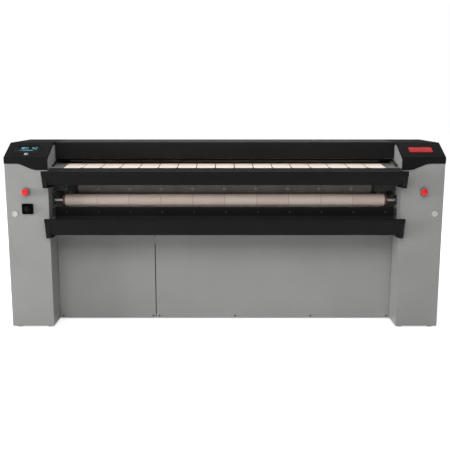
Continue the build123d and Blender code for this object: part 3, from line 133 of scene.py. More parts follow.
# One recipe for each finish: two tones, roughness range, grain size and depth
finishes = {
    "greyPaint": dict(dark=tone(150, 150, 149), light=tone(158, 158, 157), broad=3.0, roughness=(0.42, 0.52),
                      fine=700.0, bump=0.10, depth=0.0004, specular=0.3),
    "panelPaint": dict(dark=tone(153, 153, 152), light=tone(160, 160, 159), broad=2.5, roughness=(0.40, 0.50),
                       fine=700.0, bump=0.10, depth=0.0004, specular=0.3),
    "barPaint": dict(dark=tone(19, 19, 19), light=tone(24, 23, 23), broad=4.0, roughness=(0.50, 0.60),
                     fine=800.0, bump=0.12, depth=0.0004, specular=0.10),
    "coverPlastic": dict(dark=tone(18, 18, 18), light=tone(24, 23, 24), broad=9.0, roughness=(0.75, 0.85),
                         fine=900.0, bump=0.35, depth=0.0006, specular=0.12),
    "hoodPaint": dict(dark=tone(24, 24, 24), light=tone(29, 29, 29), broad=4.0, roughness=(0.45, 0.55),
                      fine=800.0, bump=0.12, depth=0.0004, specular=0.105),
    "chutePaint": dict(dark=tone(21, 20, 20), light=tone(27, 25, 25), broad=6.0, roughness=(0.45, 0.6),
                       fine=800.0, bump=0.15, depth=0.0004, specular=0.12),
    "frameSteel": dict(dark=tone(38, 38, 39), light=tone(49, 49, 50), broad=8.0, roughness=(0.5, 0.65),
                       fine=400.0, bump=0.15, depth=0.0005),
    "stripSteel": dict(dark=tone(122, 122, 121), light=tone(140, 140, 138), broad=12.0, roughness=(0.35, 0.5),
                       fine=260.0, bump=0.10, depth=0.0003, metallic=0.25, stretch=(1, 0.15, 1)),
    "bedCoat": dict(dark=tone(42, 32, 28), light=tone(56, 42, 36), broad=10.0, roughness=(0.5, 0.65),
                    fine=400.0, bump=0.10, depth=0.0003, specular=0.2),
    "brushedSteel": dict(dark=tone(168, 166, 162), light=tone(196, 194, 190), broad=10.0, roughness=(0.28, 0.40),
                         fine=260.0, bump=0.10, depth=0.0003, metallic=1.0, stretch=(0.15, 1, 1)),
    "rollSteel": dict(dark=tone(120, 112, 106), light=tone(150, 142, 135), broad=6.0, roughness=(0.35, 0.5),
                      fine=240.0, bump=0.10, depth=0.0003, metallic=1.0, stretch=(0.2, 1, 1)),
    "heatedSheath": dict(dark=tone(80, 70, 64), light=tone(104, 90, 80), broad=18.0, roughness=(0.5, 0.7),
                         fine=300.0, bump=0.15, depth=0.0004, metallic=0.8),
    "castGrey": dict(dark=tone(84, 84, 83), light=tone(104, 104, 102), broad=30.0, roughness=(0.5, 0.7),
                     fine=500.0, bump=0.4, depth=0.0008),
    "blackBolt": dict(dark=tone(18, 18, 18), light=tone(27, 27, 27), broad=60.0, roughness=(0.35, 0.5),
                      fine=600.0, bump=0.1, depth=0.0003, metallic=0.4),
    "darkScrew": dict(dark=tone(66, 65, 64), light=tone(84, 83, 81), broad=60.0, roughness=(0.35, 0.5),
                      fine=600.0, bump=0.1, depth=0.0003, metallic=0.6),
    "oiledSteel": dict(dark=tone(70, 68, 64), light=tone(98, 94, 88), broad=40.0, roughness=(0.3, 0.5),
                       fine=500.0, bump=0.1, depth=0.0003, metallic=0.9),
    "motorPaint": dict(dark=tone(52, 70, 92), light=tone(60, 80, 104), broad=12.0, roughness=(0.4, 0.55),
                       fine=500.0, bump=0.2, depth=0.0005),
    "fanMetal": dict(dark=tone(170, 172, 174), light=tone(196, 197, 199), broad=16.0, roughness=(0.3, 0.42),
                     fine=300.0, bump=0.08, depth=0.0003, metallic=0.9),
    "cabinetPaint": dict(dark=tone(190, 190, 186), light=tone(202, 202, 198), broad=5.0, roughness=(0.5, 0.6),
                         fine=420.0, bump=0.35, depth=0.0006),
    "blackMoulding": dict(dark=tone(17, 17, 17), light=tone(23, 22, 22), broad=30.0, roughness=(0.48, 0.58),
                          fine=900.0, bump=0.3, depth=0.0004, specular=0.12),
    "sealRubber": dict(dark=tone(16, 16, 16), light=tone(22, 22, 22), broad=30.0, roughness=(0.7, 0.8),
                       fine=500.0, bump=0.2, depth=0.0003, specular=0.1),
    "guideMoulding": dict(dark=tone(34, 22, 19), light=tone(46, 29, 25), broad=40.0, roughness=(0.5, 0.62),
                          fine=700.0, bump=0.2, depth=0.0003, specular=0.15),
    "redPlastic": dict(dark=tone(226, 30, 34), light=tone(240, 42, 44), broad=40.0, roughness=(0.25, 0.35),
                       fine=500.0, bump=0.05, depth=0.0002, specular=0.4),
    "redLacquer": dict(dark=tone(168, 26, 28), light=tone(184, 34, 36), broad=14.0, roughness=(0.30, 0.40),
                       fine=400.0, bump=0.05, depth=0.0002, specular=0.12),
    "collarPlastic": dict(dark=tone(112, 110, 110), light=tone(128, 126, 126), broad=40.0, roughness=(0.3, 0.42),
                          fine=600.0, bump=0.08, depth=0.0003),
    "switchPlastic": dict(dark=tone(3, 3, 3), light=tone(6, 6, 6), broad=30.0, roughness=(0.5, 0.6),
                          fine=600.0, bump=0.12, depth=0.0003, specular=0.03),
    "whitePlastic": dict(dark=tone(190, 190, 188), light=tone(204, 204, 201), broad=40.0, roughness=(0.35, 0.45),
                         fine=600.0, bump=0.06, depth=0.0003),
    "screenGlass": dict(dark=tone(2, 3, 4), light=tone(5, 7, 9), broad=12.0, roughness=(0.06, 0.10),
                        fine=400.0, bump=0.01, depth=0.0001, specular=0.02),
    "nickel": dict(dark=tone(150, 149, 147), light=tone(176, 175, 172), broad=30.0, roughness=(0.3, 0.42),
                   fine=400.0, bump=0.05, depth=0.0002, metallic=1.0),
}
materials = {name: surfaceMaterial(name, recipe) for name, recipe in finishes.items()}
print("finishes of one tone:", len(materials))


def spangleMaterial(name, recipe):
    # galvanised sheet: crystals that each have their own tone and gloss, larger and smaller ones mixed
    material = bpy.data.materials.new(name)
    tree, shader = shaderOf(material)
    points = objectPoints(tree)
    large = addNode(tree, "ShaderNodeTexVoronoi", Scale=recipe["large"])
    small = addNode(tree, "ShaderNodeTexVoronoi", Scale=recipe["small"])
    for crystals in (large, small):
        tree.links.new(points, crystals.inputs["Vector"])
    share = addNode(tree, "ShaderNodeMix", data_type="RGBA")
    share.inputs["Factor"].default_value = recipe["smallShare"]
    tree.links.new(large.outputs["Color"], share.inputs["A"])
    tree.links.new(small.outputs["Color"], share.inputs["B"])
    crystal = share.outputs["Result"]
    tree.links.new(ramp(tree, crystal, recipe["dark"], recipe["light"], 0.25, 0.75), shader.inputs["Base Color"])
    low, high = recipe["roughness"]
    tree.links.new(ramp(tree, crystal, grey(high), grey(low), 0.25, 0.75), shader.inputs["Roughness"])
    fine = noiseValue(tree, points, recipe["fine"], 2.0)
    tree.links.new(bump(tree, fine, recipe["bump"], grainDepth), shader.inputs["Normal"])
    shader.inputs["Metallic"].default_value = recipe["metallic"]
    return material


zincSpangle = dict(dark=tone(163, 165, 168), light=tone(183, 185, 187), large=48.0, small=120.0, smallShare=0.45,
                   roughness=(0.34, 0.46), fine=300.0, bump=0.05, metallic=0.85)
materials["zincSheet"] = spangleMaterial("zincSheet", zincSpangle)


def litMaterial(name, recipe):
    # glowing figures: a pale tone varied along the row, with a light of their own
    material = bpy.data.materials.new(name)
    tree, shader = shaderOf(material)
    points = objectPoints(tree)
    colour = ramp(tree, noiseValue(tree, points, recipe["broad"], 2.0), recipe["dark"], recipe["light"], 0.4, 0.6)
    tree.links.new(colour, shader.inputs["Base Color"])
    tree.links.new(colour, shader.inputs["Emission Color"])
    shader.inputs["Emission Strength"].default_value = recipe["glow"]
    shader.inputs["Roughness"].default_value = recipe["roughness"]
    return material


displayLight = dict(dark=tone(46, 130, 160), light=tone(120, 190, 205), broad=60.0, glow=0.45, roughness=0.4)
materials["litFigures"] = litMaterial("litFigures", displayLight)


def beltMaterial(name, recipe):
    # felt or woven band: a tone for each belt, mottled by its fibres, with a fine weave in the bump
    material = bpy.data.materials.new(name)
    tree, shader = shaderOf(material)
    points = objectPoints(tree)
    split = tree.nodes.new("ShaderNodeSeparateXYZ")
    tree.links.new(points, split.inputs["Vector"])
    belt = addNode(tree, "ShaderNodeMath", operation="MULTIPLY_ADD")
    belt.inputs[1].default_value = 1 / recipe["pitch"]
    belt.inputs[2].default_value = recipe["shift"]
    tree.links.new(split.outputs["X"], belt.inputs[0])
    number = addNode(tree, "ShaderNodeMath", operation="FLOOR")
    tree.links.new(belt.outputs[0], number.inputs[0])
    chance = addNode(tree, "ShaderNodeTexWhiteNoise", noise_dimensions="1D")
    tree.links.new(number.outputs[0], chance.inputs["W"])
    perBelt = ramp(tree, chance.outputs["Value"], recipe["dark"], recipe["light"], 0.0, 1.0)
    fibres = noiseValue(tree, objectPoints(tree, (0.35, 1, 1)), recipe["fibre"], 6.0, 0.65)
    mix = addNode(tree, "ShaderNodeMix", data_type="RGBA", blend_type="MULTIPLY")
    mix.inputs["Factor"].default_value = recipe["mottle"]
    tree.links.new(perBelt, mix.inputs["A"])
    tree.links.new(ramp(tree, fibres, recipe["fibreDark"], (1, 1, 1, 1), 0.3, 0.6), mix.inputs["B"])
    tree.links.new(mix.outputs["Result"], shader.inputs["Base Color"])
    weave = addNode(tree, "ShaderNodeTexVoronoi", Scale=recipe["weave"])
    tree.links.new(points, weave.inputs["Vector"])
    tree.links.new(bump(tree, weave.outputs["Distance"], recipe["bump"], grainDepth * 2), shader.inputs["Normal"])
    for socket, value in (("Roughness", 0.85), ("Sheen Weight", 0.25), ("Sheen Roughness", 0.5)):
        shader.inputs[socket].default_value = value
    return material


ironingBelt = dict(pitch=0.2, shift=0.0, dark=tone(232, 214, 200), light=tone(242, 228, 217), fibre=420.0,
                   mottle=0.35, fibreDark=tone(214, 196, 182), weave=900.0, bump=0.35)
feedBelt = dict(pitch=2.0 / 17, shift=0.5, dark=tone(247, 231, 216), light=tone(253, 240, 228), fibre=300.0,
                mottle=0.3, fibreDark=tone(232, 212, 198), weave=700.0, bump=0.45)
materials["ironingFelt"] = beltMaterial("ironingFelt", ironingBelt)
materials["feedBand"] = beltMaterial("feedBand", feedBelt)


def splitMaterial(name, middle, ends, limit, bothSides):
    # one finish in the middle of the machine's width, another tone beyond a distance to both sides or to the right;
    # at the stripper plate and heads that tone is painted shade, at the blocks' right end it is painted light, and
    # at the roller's shaft ends it is partly a painted highlight
    material = bpy.data.materials.new(name)
    tree, shader = shaderOf(material)
    points = objectPoints(tree)
    split = tree.nodes.new("ShaderNodeSeparateXYZ")
    tree.links.new(points, split.inputs["Vector"])
    across = split.outputs["X"]
    if bothSides:
        aside = addNode(tree, "ShaderNodeMath", operation="ABSOLUTE")
        tree.links.new(across, aside.inputs[0])
        across = aside.outputs[0]
    beyond = addNode(tree, "ShaderNodeMath", operation="GREATER_THAN")
    beyond.inputs[1].default_value = limit
    tree.links.new(across, beyond.inputs[0])
    colours = []
    for recipe in (middle, ends):
        broad = noiseValue(tree, points, recipe["broad"], 4.0)
        colours.append(ramp(tree, broad, recipe["dark"], recipe["light"]))
    mix = addNode(tree, "ShaderNodeMix", data_type="RGBA")
    tree.links.new(beyond.outputs[0], mix.inputs["Factor"])
    tree.links.new(colours[0], mix.inputs["A"])
    tree.links.new(colours[1], mix.inputs["B"])
    tree.links.new(mix.outputs["Result"], shader.inputs["Base Color"])
    for key, socket in (("gloss", "Roughness"), ("metallic", "Metallic")):
        change = ramp(tree, beyond.outputs[0], grey(middle[key]), grey(ends[key]), 0.0, 1.0)
        tree.links.new(change, shader.inputs[socket])
    fine = noiseValue(tree, points, middle["fine"], 2.0)
    tree.links.new(bump(tree, fine, middle["bump"], grainDepth), shader.inputs["Normal"])
    shader.inputs["Specular IOR Level"].default_value = middle["specular"]
    return material


rollerDrum = dict(dark=tone(106, 78, 68), light=tone(126, 94, 83), broad=30.0, gloss=0.55, metallic=0.0,
                  fine=400.0, bump=0.1, specular=0.25)
# pale cream tone of the return roller's shaft ends: partly the polished steel's own colour, partly a painted
# highlight, kept half metal so it reads bright all round
shaftSteelAndHighlight = dict(dark=tone(222, 220, 214), light=tone(240, 238, 232), broad=40.0, gloss=0.30, metallic=0.45)
guardBar = dict(dark=tone(20, 19, 19), light=tone(26, 25, 25), broad=10.0, gloss=0.5, metallic=0.0,
                fine=500.0, bump=0.1, specular=0.15)
guardArm = dict(dark=tone(112, 112, 110), light=tone(128, 128, 126), broad=30.0, gloss=0.45, metallic=0.2)
brownSheet = dict(dark=tone(104, 98, 93), light=tone(122, 116, 110), broad=7.0, gloss=0.48, metallic=0.0,
                  fine=600.0, bump=0.15, specular=0.3)
# darker tone of the stripper plate and hem beyond 0.95 m to each side: painted shade where the ends lie in the
# columns' shadow
paintedShadeSheet = dict(dark=tone(58, 55, 53), light=tone(70, 67, 64), broad=7.0, gloss=0.5, metallic=0.0)
brownHead = dict(dark=tone(130, 125, 119), light=tone(146, 141, 135), broad=40.0, gloss=0.42, metallic=0.0,
                 fine=600.0, bump=0.08, specular=0.35)
# darker tone of the end heads beyond 0.95 m to each side: painted shade, as on the plate's ends
paintedShadeHead = dict(dark=tone(84, 81, 78), light=tone(98, 94, 90), broad=40.0, gloss=0.45, metallic=0.0)
darkBlock = dict(dark=tone(10, 10, 10), light=tone(15, 15, 15), broad=30.0, gloss=0.5, metallic=0.0,
                 fine=500.0, bump=0.1, specular=0.2)
# lighter grey on the right end of the stripper blocks only, with the left end staying dark: painted light on the
# side that the lamps from the left reach
paintedLightBlock = dict(dark=tone(53, 52, 52), light=tone(64, 63, 62), broad=30.0, gloss=0.5, metallic=0.0)
for name, middle, ends, limit, bothSides in (("stripperBlock", darkBlock, paintedLightBlock, 0.941, False),
                                             ("stripperSheet", brownSheet, paintedShadeSheet, 0.95, True),
                                             ("stripperHead", brownHead, paintedShadeHead, 0.95, True),
                                             ("returnRoller", rollerDrum, shaftSteelAndHighlight, 1.016, True),
                                             ("guardSteel", guardBar, guardArm, 1.078, True)):
    materials[name] = splitMaterial(name, middle, ends, limit, bothSides)
print("all finishes:", len(materials))

# The finish of each CAD node
nodeFinish = {
    "greyPaint": ["left_column", "right_column"],
    "barPaint": ["feed_nose", "delivery_tray"],
    "panelPaint": ["left_front_panel", "right_front_panel"],
    "coverPlastic": ["left_top_cover", "right_top_cover"],
    "blackMoulding": ["bar_end_caps", "switch_knob", "cable_gland", "display_bezel"],
    "stripperBlock": ["stripper_blocks"],
    "hoodPaint": ["hood"],
    "chutePaint": ["delivery_chute"],
    "zincSheet": ["column_backs", "rear_panel", "fan_housing", "exhaust_spigot"],
    "frameSteel": ["cross_tubes", "left_side_frame", "right_side_frame"],
    "brushedSteel": ["nip_roller", "lower_rear_roller", "upper_rear_roller",
                     "feed_front_roller", "feed_rear_roller", "levelling_feet"],
    "stripSteel": ["side_strips"],
    "bedCoat": ["feed_bed"],
    "guardSteel": ["finger_guard"],
    "returnRoller": ["return_roller"],
    "nickel": ["button_ring", "start_button"],
    "rollSteel": ["heated_cylinder", "heater_core"],
    "heatedSheath": ["heating_elements"],
    "ironingFelt": ["ironing_belts"],
    "feedBand": ["feed_belts"],
    "castGrey": ["frame_bearings", "return_bearings"],
    "blackBolt": ["bearing_bolts", "panel_screws"],
    "stripperSheet": ["stripper_plate", "stripper_buttons"],
    "oiledSteel": ["drive_chain", "cylinder_sprocket", "motor_sprocket"],
    "motorPaint": ["gearmotor", "feed_motor", "fan_motor"],
    "fanMetal": ["fan_wheel"],
    "cabinetPaint": ["control_cabinet"],
    "screenGlass": ["display_glass"],
    "redPlastic": ["left_stop_head", "right_stop_head"],
    "redLacquer": ["red_plate"],
    "collarPlastic": ["stop_collars"],
    "switchPlastic": ["switch_plate"],
    "whitePlastic": ["hole_plugs"],
}
for finish, members in nodeFinish.items():
    for member in members:
        nodes[member].data.materials.clear()
        nodes[member].data.materials.append(materials[finish])
unfinished = [name for name, node in nodes.items() if node.data.materials[0].name not in materials]
print("finishes set, nodes without one:", unfinished)


def addPiece(name, mesh, finish, body, slot, *standsFor):
    # a finished mesh becomes a piece of the machine
    if finish:
        mesh.materials.clear()
        mesh.materials.append(materials[finish])
    piece = bpy.data.objects.new(name, mesh)
    bpy.context.scene.collection.objects.link(piece)
    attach(piece, body)
    if standsFor:
        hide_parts(*standsFor)
    return piece


def closedMesh(name, vertices, faces):
    # doubles merged, faces turned outwards, edges above an angle left sharp
    mesh = bpy.data.meshes.new(name)
    mesh.from_pydata([tuple(point) for point in vertices], [], faces)
    shape = bmesh.new()
    shape.from_mesh(mesh)
    bmesh.ops.remove_doubles(shape, verts=shape.verts, dist=1e-6)
    bmesh.ops.recalc_face_normals(shape, faces=shape.faces)
    shape.to_mesh(mesh)
    shape.free()
    mesh.shade_smooth()
    mesh.set_sharp_from_angle(angle=sharpAbove)
    return mesh


def ringFaces(first, count, rings):
    # faces between rings of equal count, with a cap on the first ring and one on the last
    faces = []
    for ring in range(rings - 1):
        low = first + ring * count
        for corner in range(count):
            after = (corner + 1) % count
            faces.append((low + corner, low + after, low + count + after, low + count + corner))
    last = first + (rings - 1) * count
    return faces + [tuple(range(first + count - 1, first - 1, -1)), tuple(range(last, last + count))]


def turnedMesh(name, profile, foot, outward, sides):
    # profile of (radius, height) in millimetres, turned about an axis from its foot
    outward = Vector(outward).normalized()
    across = Vector((1, 0, 0))
    upright = outward.cross(across).normalized()
    vertices, rings, faces = [], [], []
    for radius, height in profile:
        middle = Vector(foot) + outward * height / 1000
        if radius < 1e-6:
            rings.append([len(vertices)])
            vertices.append(middle)
            continue
        ring = []
        for step in range(sides):
            angle = 2 * math.pi * step / sides
            ring.append(len(vertices))
            vertices.append(middle + (across * math.cos(angle) + upright * math.sin(angle)) * radius / 1000)
        rings.append(ring)
    for lower, upper in zip(rings, rings[1:]):
        for step in range(sides):
            after = (step + 1) % sides
            if len(lower) == 1:
                faces.append((lower[0], upper[after], upper[step]))
            elif len(upper) == 1:
                faces.append((lower[step], lower[after], upper[0]))
            else:
                faces.append((lower[step], lower[after], upper[after], upper[step]))
    return closedMesh(name, vertices, faces)


# Emergency stop heads, in millimetres: stem, underside and crown as (in from the rim, up or down from its edges)
stopHead = dict(stem=11.0, depth=30.0, stand=18.0, radius=21.0, thick=14.0, throat=1.0, rim=1.6, sides=72,
                underside=((0.4, 0.7), (0.0, 2.2)),
                crown=((0.0, 6.0), (0.5, 4.2), (1.7, 2.8), (3.4, 1.9), (4.2, 1.95), (4.7, 1.95), (5.6, 1.35),
                       (9.0, 0.7), (14.0, 0.2)))
stem, throat, radius, back = (stopHead[key] for key in ("stem", "throat", "radius", "stand"))
face = back + stopHead["thick"]
profile = [(0, -stopHead["depth"]), (stem, -stopHead["depth"]), (stem, back - throat), (stem + throat, back),
           (radius - stopHead["rim"], back)]
profile += [(radius - inward, back + above) for inward, above in stopHead["underside"]]
profile += [(radius - inward, face - below) for inward, below in stopHead["crown"]] + [(0, face)]
for side in ("left", "right"):
    low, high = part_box(side + "_stop_head")
    foot = ((low.x + high.x) / 2, columnFront, (low.z + high.z) / 2)
    addPiece(side + "StopHead", turnedMesh(side + "StopHead", profile, foot, (0, -1, 0), stopHead["sides"]),
             "redPlastic", side + "_stop", "red_gloss", side + "_stop_head")
print("stop heads turned")

# Start button, in millimetres: a nickel cap with a dished face, square to the sloped cover, its crown as above
coverSlope = dict(drop=80.0, run=154.0)
slope = math.atan2(coverSlope["drop"], coverSlope["run"])
slopeOut = Vector((0, -math.sin(slope), math.cos(slope)))
slopeUp = Vector((0, math.cos(slope), math.sin(slope)))
startCap = dict(radius=10.5, sides=56, crown=((0.0, 1.4), (0.56, 0.42), (1.4, 0.0), (2.0, 0.1), (3.6, 0.63),
                                              (6.3, 0.9), (10.5, 0.9)))


def slopeReach(node, direction):
    # lowest and highest place of a CAD node along a direction
    reaches = [vertex.co.dot(direction) for vertex in nodes[node].data.vertices]
    return min(reaches), max(reaches)


capFoot, capTop = slopeReach("start_button", slopeOut)
low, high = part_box("start_button")
middle = (low + high) / 2
foot = middle + slopeOut * (capFoot - middle.dot(slopeOut))
radius, tall = startCap["radius"], (capTop - capFoot) * 1000
profile = [(0, 0), (radius, 0)] + [(radius - inward, tall - below) for inward, below in startCap["crown"]]
addPiece("startCap", turnedMesh("startCap", profile, foot, slopeOut, startCap["sides"]), "nickel", "button",
         "chromed_steel", "start_button")
print("start button turned")


def segmentShapes(character, left, bottom, wide, tall, thick):
    # strokes of a seven segment figure as (x, y) outlines with pointed ends
    lit = {"0": "abcdef", "1": "bc", "2": "abged", "3": "abgcd", "4": "fgbc", "5": "afgcd", "6": "afgedc",
           "7": "abc", "8": "abcdefg", "9": "abcdfg"}[character]
    half, middle = thick / 2, bottom + tall / 2
    right, top = left + wide, bottom + tall
    ends = {"a": ((left, top), (right, top)), "b": ((right, middle), (right, top)),
            "c": ((right, bottom), (right, middle)), "d": ((left, bottom), (right, bottom)),
            "e": ((left, bottom), (left, middle)), "f": ((left, middle), (left, top)),
            "g": ((left, middle), (right, middle))}
    shapes = []
    for letter in lit:
        (startX, startY), (endX, endY) = ends[letter]
        level = startY == endY
        a, b = (startX, endX) if level else (startY, endY)
        a, b = a + half * 0.3, b - half * 0.3
        if level:
            outline = [(a, 0), (a + half, -half), (b - half, -half), (b, 0), (b - half, half), (a + half, half)]
            shapes.append([(x, startY + y) for x, y in outline])
        else:
            outline = [(0, a), (half, a + half), (half, b - half), (0, b), (-half, b - half), (-half, a + half)]
            shapes.append([(startX + x, y) for x, y in outline])
    return shapes


# Display, in millimetres: lit figures and a bar of rising steps on the dark glass
display = dict(figures="180 42", left=-49.0, foot=-2.0, tall=24.0, wide=11.0, stroke=3.0, gap=8.0, lift=0.15,
               steps=14, stepLeft=-50.0, stepFoot=-18.0, stepWide=4.0, stepPitch=6.2, firstStep=2.2, stepRise=0.45)
low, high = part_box("display_glass")
glassTop = slopeReach("display_glass", slopeOut)[1]
glassMiddle = sum(slopeReach("display_glass", slopeUp)) / 2
glassCentre = Vector(((low.x + high.x) / 2, 0, 0)) + slopeUp * glassMiddle
glassCentre += slopeOut * (glassTop + display["lift"] / 1000)
strokes, across = [], display["left"]
for character in display["figures"]:
    if character != " ":
        strokes += segmentShapes(character, across, display["foot"], display["wide"], display["tall"],
                                 display["stroke"])
    across += display["wide"] + display["gap"]
for step in range(display["steps"]):
    left, foot = display["stepLeft"] + step * display["stepPitch"], display["stepFoot"]
    right, top = left + display["stepWide"], foot + display["firstStep"] + display["stepRise"] * step
    strokes.append([(left, foot), (right, foot), (right, top), (left, top)])
vertices, faces = [], []
for stroke in strokes:
    faces.append(tuple(range(len(vertices), len(vertices) + len(stroke))))
    vertices += [glassCentre + Vector((x / 1000, 0, 0)) + slopeUp * y / 1000 for x, y in stroke]
figureMesh = bpy.data.meshes.new("displayFigures")
figureMesh.from_pydata([tuple(point) for point in vertices], [], faces)
addPiece("displayFigures", figureMesh, "litFigures", "machine", "display_pane")
print("display figures:", len(strokes), "strokes")


# Bare lacquered plate on the right cover: rounded corners, a rolled rim and a sunk face, as (inset, height)
facePlate = dict(width=0.143, tall=0.059, corner=0.007, fromLeft=0.002,
                 levels=((0.0, 0.0), (0.0, 0.0012), (0.0005, 0.0018), (0.0014, 0.0020), (0.0024, 0.0018),
                         (0.0030, 0.0012), (0.0040, 0.0010)))


def roundedRing(width, tall, corner, steps=7):
    points = []
    for x, y, start in ((1, 1, 0.0), (-1, 1, 0.5), (-1, -1, 1.0), (1, -1, 1.5)):
        for step in range(steps):
            angle = math.pi * (start + 0.5 * step / (steps - 1))
            points.append((x * (width / 2 - corner) + corner * math.cos(angle),
                           y * (tall / 2 - corner) + corner * math.sin(angle)))
    return points


plateFoot = slopeReach("red_plate", slopeOut)[0]
plateMiddle = sum(slopeReach("red_plate", slopeUp)) / 2
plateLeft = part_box("red_plate")[0].x - facePlate["fromLeft"]
plateCentre = Vector((plateLeft + facePlate["width"] / 2, 0, 0)) + slopeUp * plateMiddle + slopeOut * plateFoot
vertices = []
for inset, height in facePlate["levels"]:
    ring = roundedRing(facePlate["width"] - 2 * inset, facePlate["tall"] - 2 * inset, facePlate["corner"] - inset)
    vertices += [plateCentre + Vector((x, 0, 0)) + slopeUp * y + slopeOut * height for x, y in ring]
faces = ringFaces(0, len(ring), len(facePlate["levels"]))
addPiece("facePlate", closedMesh("facePlate", vertices, faces), "redLacquer", "machine", "red_sheet", "red_plate")
print("bare plate set")


# Heads that repeat: each tree grows one head from a ring and sets it on every point
def newTree(name, inputs):
    tree = bpy.data.node_groups.new(name, "GeometryNodeTree")
    tree.interface.new_socket("Geometry", in_out="INPUT", socket_type="NodeSocketGeometry")
    sockets = [tree.interface.new_socket(label, in_out="INPUT", socket_type="NodeSocketFloat") for label in inputs]
    identifiers = {socket.name: socket.identifier for socket in sockets}
    tree.interface.new_socket("Geometry", in_out="OUTPUT", socket_type="NodeSocketGeometry")
    return tree, tree.nodes.new("NodeGroupInput"), tree.nodes.new("NodeGroupOutput"), identifiers


def times(tree, socket, factor):
    node = addNode(tree, "ShaderNodeMath", operation="MULTIPLY")
    node.inputs[1].default_value = factor
    tree.links.new(socket, node.inputs[0])
    return node.outputs[0]


def grownHead(tree, start, steps, sides):
    # each step lifts the top face by a share of the thickness and draws it in
    ring = addNode(tree, "GeometryNodeMeshCircle", fill_type="NGON", Vertices=sides)
    tree.links.new(start.outputs["radius"], ring.inputs["Radius"])
    shape, top = ring.outputs["Mesh"], None
    for rise, share in steps:
        grow = tree.nodes.new("GeometryNodeExtrudeMesh")
        grow.inputs["Individual"].default_value = False
        tree.links.new(shape, grow.inputs["Mesh"])
        if top:
            tree.links.new(top, grow.inputs["Selection"])
        tree.links.new(times(tree, start.outputs["thickness"], rise), grow.inputs["Offset Scale"])
        draw = tree.nodes.new("GeometryNodeScaleElements")
        draw.inputs["Scale"].default_value = share
        tree.links.new(grow.outputs["Mesh"], draw.inputs["Geometry"])
        tree.links.new(grow.outputs["Top"], draw.inputs["Selection"])
        shape, top = draw.outputs["Geometry"], grow.outputs["Top"]
    base = tree.nodes.new("GeometryNodeFlipFaces")
    tree.links.new(ring.outputs["Mesh"], base.inputs["Mesh"])
    both = tree.nodes.new("GeometryNodeJoinGeometry")
    tree.links.new(shape, both.inputs["Geometry"])
    tree.links.new(base.outputs["Mesh"], both.inputs["Geometry"])
    merged = addNode(tree, "GeometryNodeMergeByDistance", Distance=0.00001)
    tree.links.new(both.outputs["Geometry"], merged.inputs["Geometry"])
    return merged.outputs["Geometry"]


def setOnPoints(tree, start, end, head, turn, material):
    onto = tree.nodes.new("GeometryNodeInstanceOnPoints")
    onto.inputs["Rotation"].default_value = turn
    tree.links.new(start.outputs["Geometry"], onto.inputs["Points"])
    tree.links.new(head, onto.inputs["Instance"])
    real = tree.nodes.new("GeometryNodeRealizeInstances")
    tree.links.new(onto.outputs["Instances"], real.inputs["Geometry"])
    finish = tree.nodes.new("GeometryNodeSetMaterial")
    finish.inputs["Material"].default_value = material
    tree.links.new(real.outputs["Geometry"], finish.inputs["Geometry"])
    tree.links.new(finish.outputs["Geometry"], end.inputs["Geometry"])


def growPiece(name, points, tree, identifiers, values, body, slot, *standsFor):
    carrier = bpy.data.meshes.new(name + "Points")
    carrier.from_pydata([tuple(point) for point in points], [], [])
    holder = bpy.data.objects.new(name + "Holder", carrier)
    bpy.context.scene.collection.objects.link(holder)
    modifier = holder.modifiers.new("grow", "NODES")
    modifier.node_group = tree
    for label, value in values.items():
        modifier[identifiers[label]] = value
    view = bpy.context.evaluated_depsgraph_get()
    mesh = bpy.data.meshes.new_from_object(holder.evaluated_get(view))
    mesh.name = name
    holder.modifiers.clear()
    bpy.data.objects.remove(holder)
    mesh.shade_smooth()
    mesh.set_sharp_from_angle(angle=sharpAbove)
    print(name + ":", len(points), "places,", len(mesh.polygons), "faces")
    return addPiece(name, mesh, None, body, slot, *standsFor)


def headPlaces(node, reach):
    # the foot and the radius of each small head of a CAD node that faces the front
    groups = []
    for vertex in nodes[node].data.vertices:
        near = next((group for group in groups if (vertex.co - group[0]).length < reach), None)
        if near:
            near.append(vertex.co)
        else:
            groups.append([vertex.co])
    places = []
    for group in groups:
        low = [min(point[axis] for point in group) for axis in range(3)]
        high = [max(point[axis] for point in group) for axis in range(3)]
        foot = Vector(((low[0] + high[0]) / 2, high[1], (low[2] + high[2]) / 2))
        places.append((foot, (high[0] - low[0]) / 2))
    return places


faceFront, faceBack = (math.pi / 2, 0, 0), (-math.pi / 2, 0, 0)
panHead = dict(thickness=0.0026, sides=18, apart=0.03, spread=0.0004,
               steps=((0.35, 1.0), (0.35, 0.93), (0.22, 0.86), (0.08, 0.80), (0.0, 0.55), (-0.55, 0.9)))


def setScrews(name, places, turn, radius, thickness, *standsFor):
    tree, start, end, identifiers = newTree(name, ("radius", "thickness"))
    head = grownHead(tree, start, panHead["steps"], panHead["sides"])
    setOnPoints(tree, start, end, head, turn, materials["darkScrew"])
    growPiece(name, places, tree, identifiers, dict(radius=radius, thickness=thickness), "machine", "steel",
              *standsFor)


screwPlaces = headPlaces("panel_screws", panHead["apart"])
for name, radius in (("chuteScrews", 0.005), ("panelScrews", 0.006)):
    places = [place for place, size in screwPlaces if abs(size - radius) < panHead["spread"]]
    setScrews(name, places, faceFront, radius, panHead["thickness"], "panel_screws")

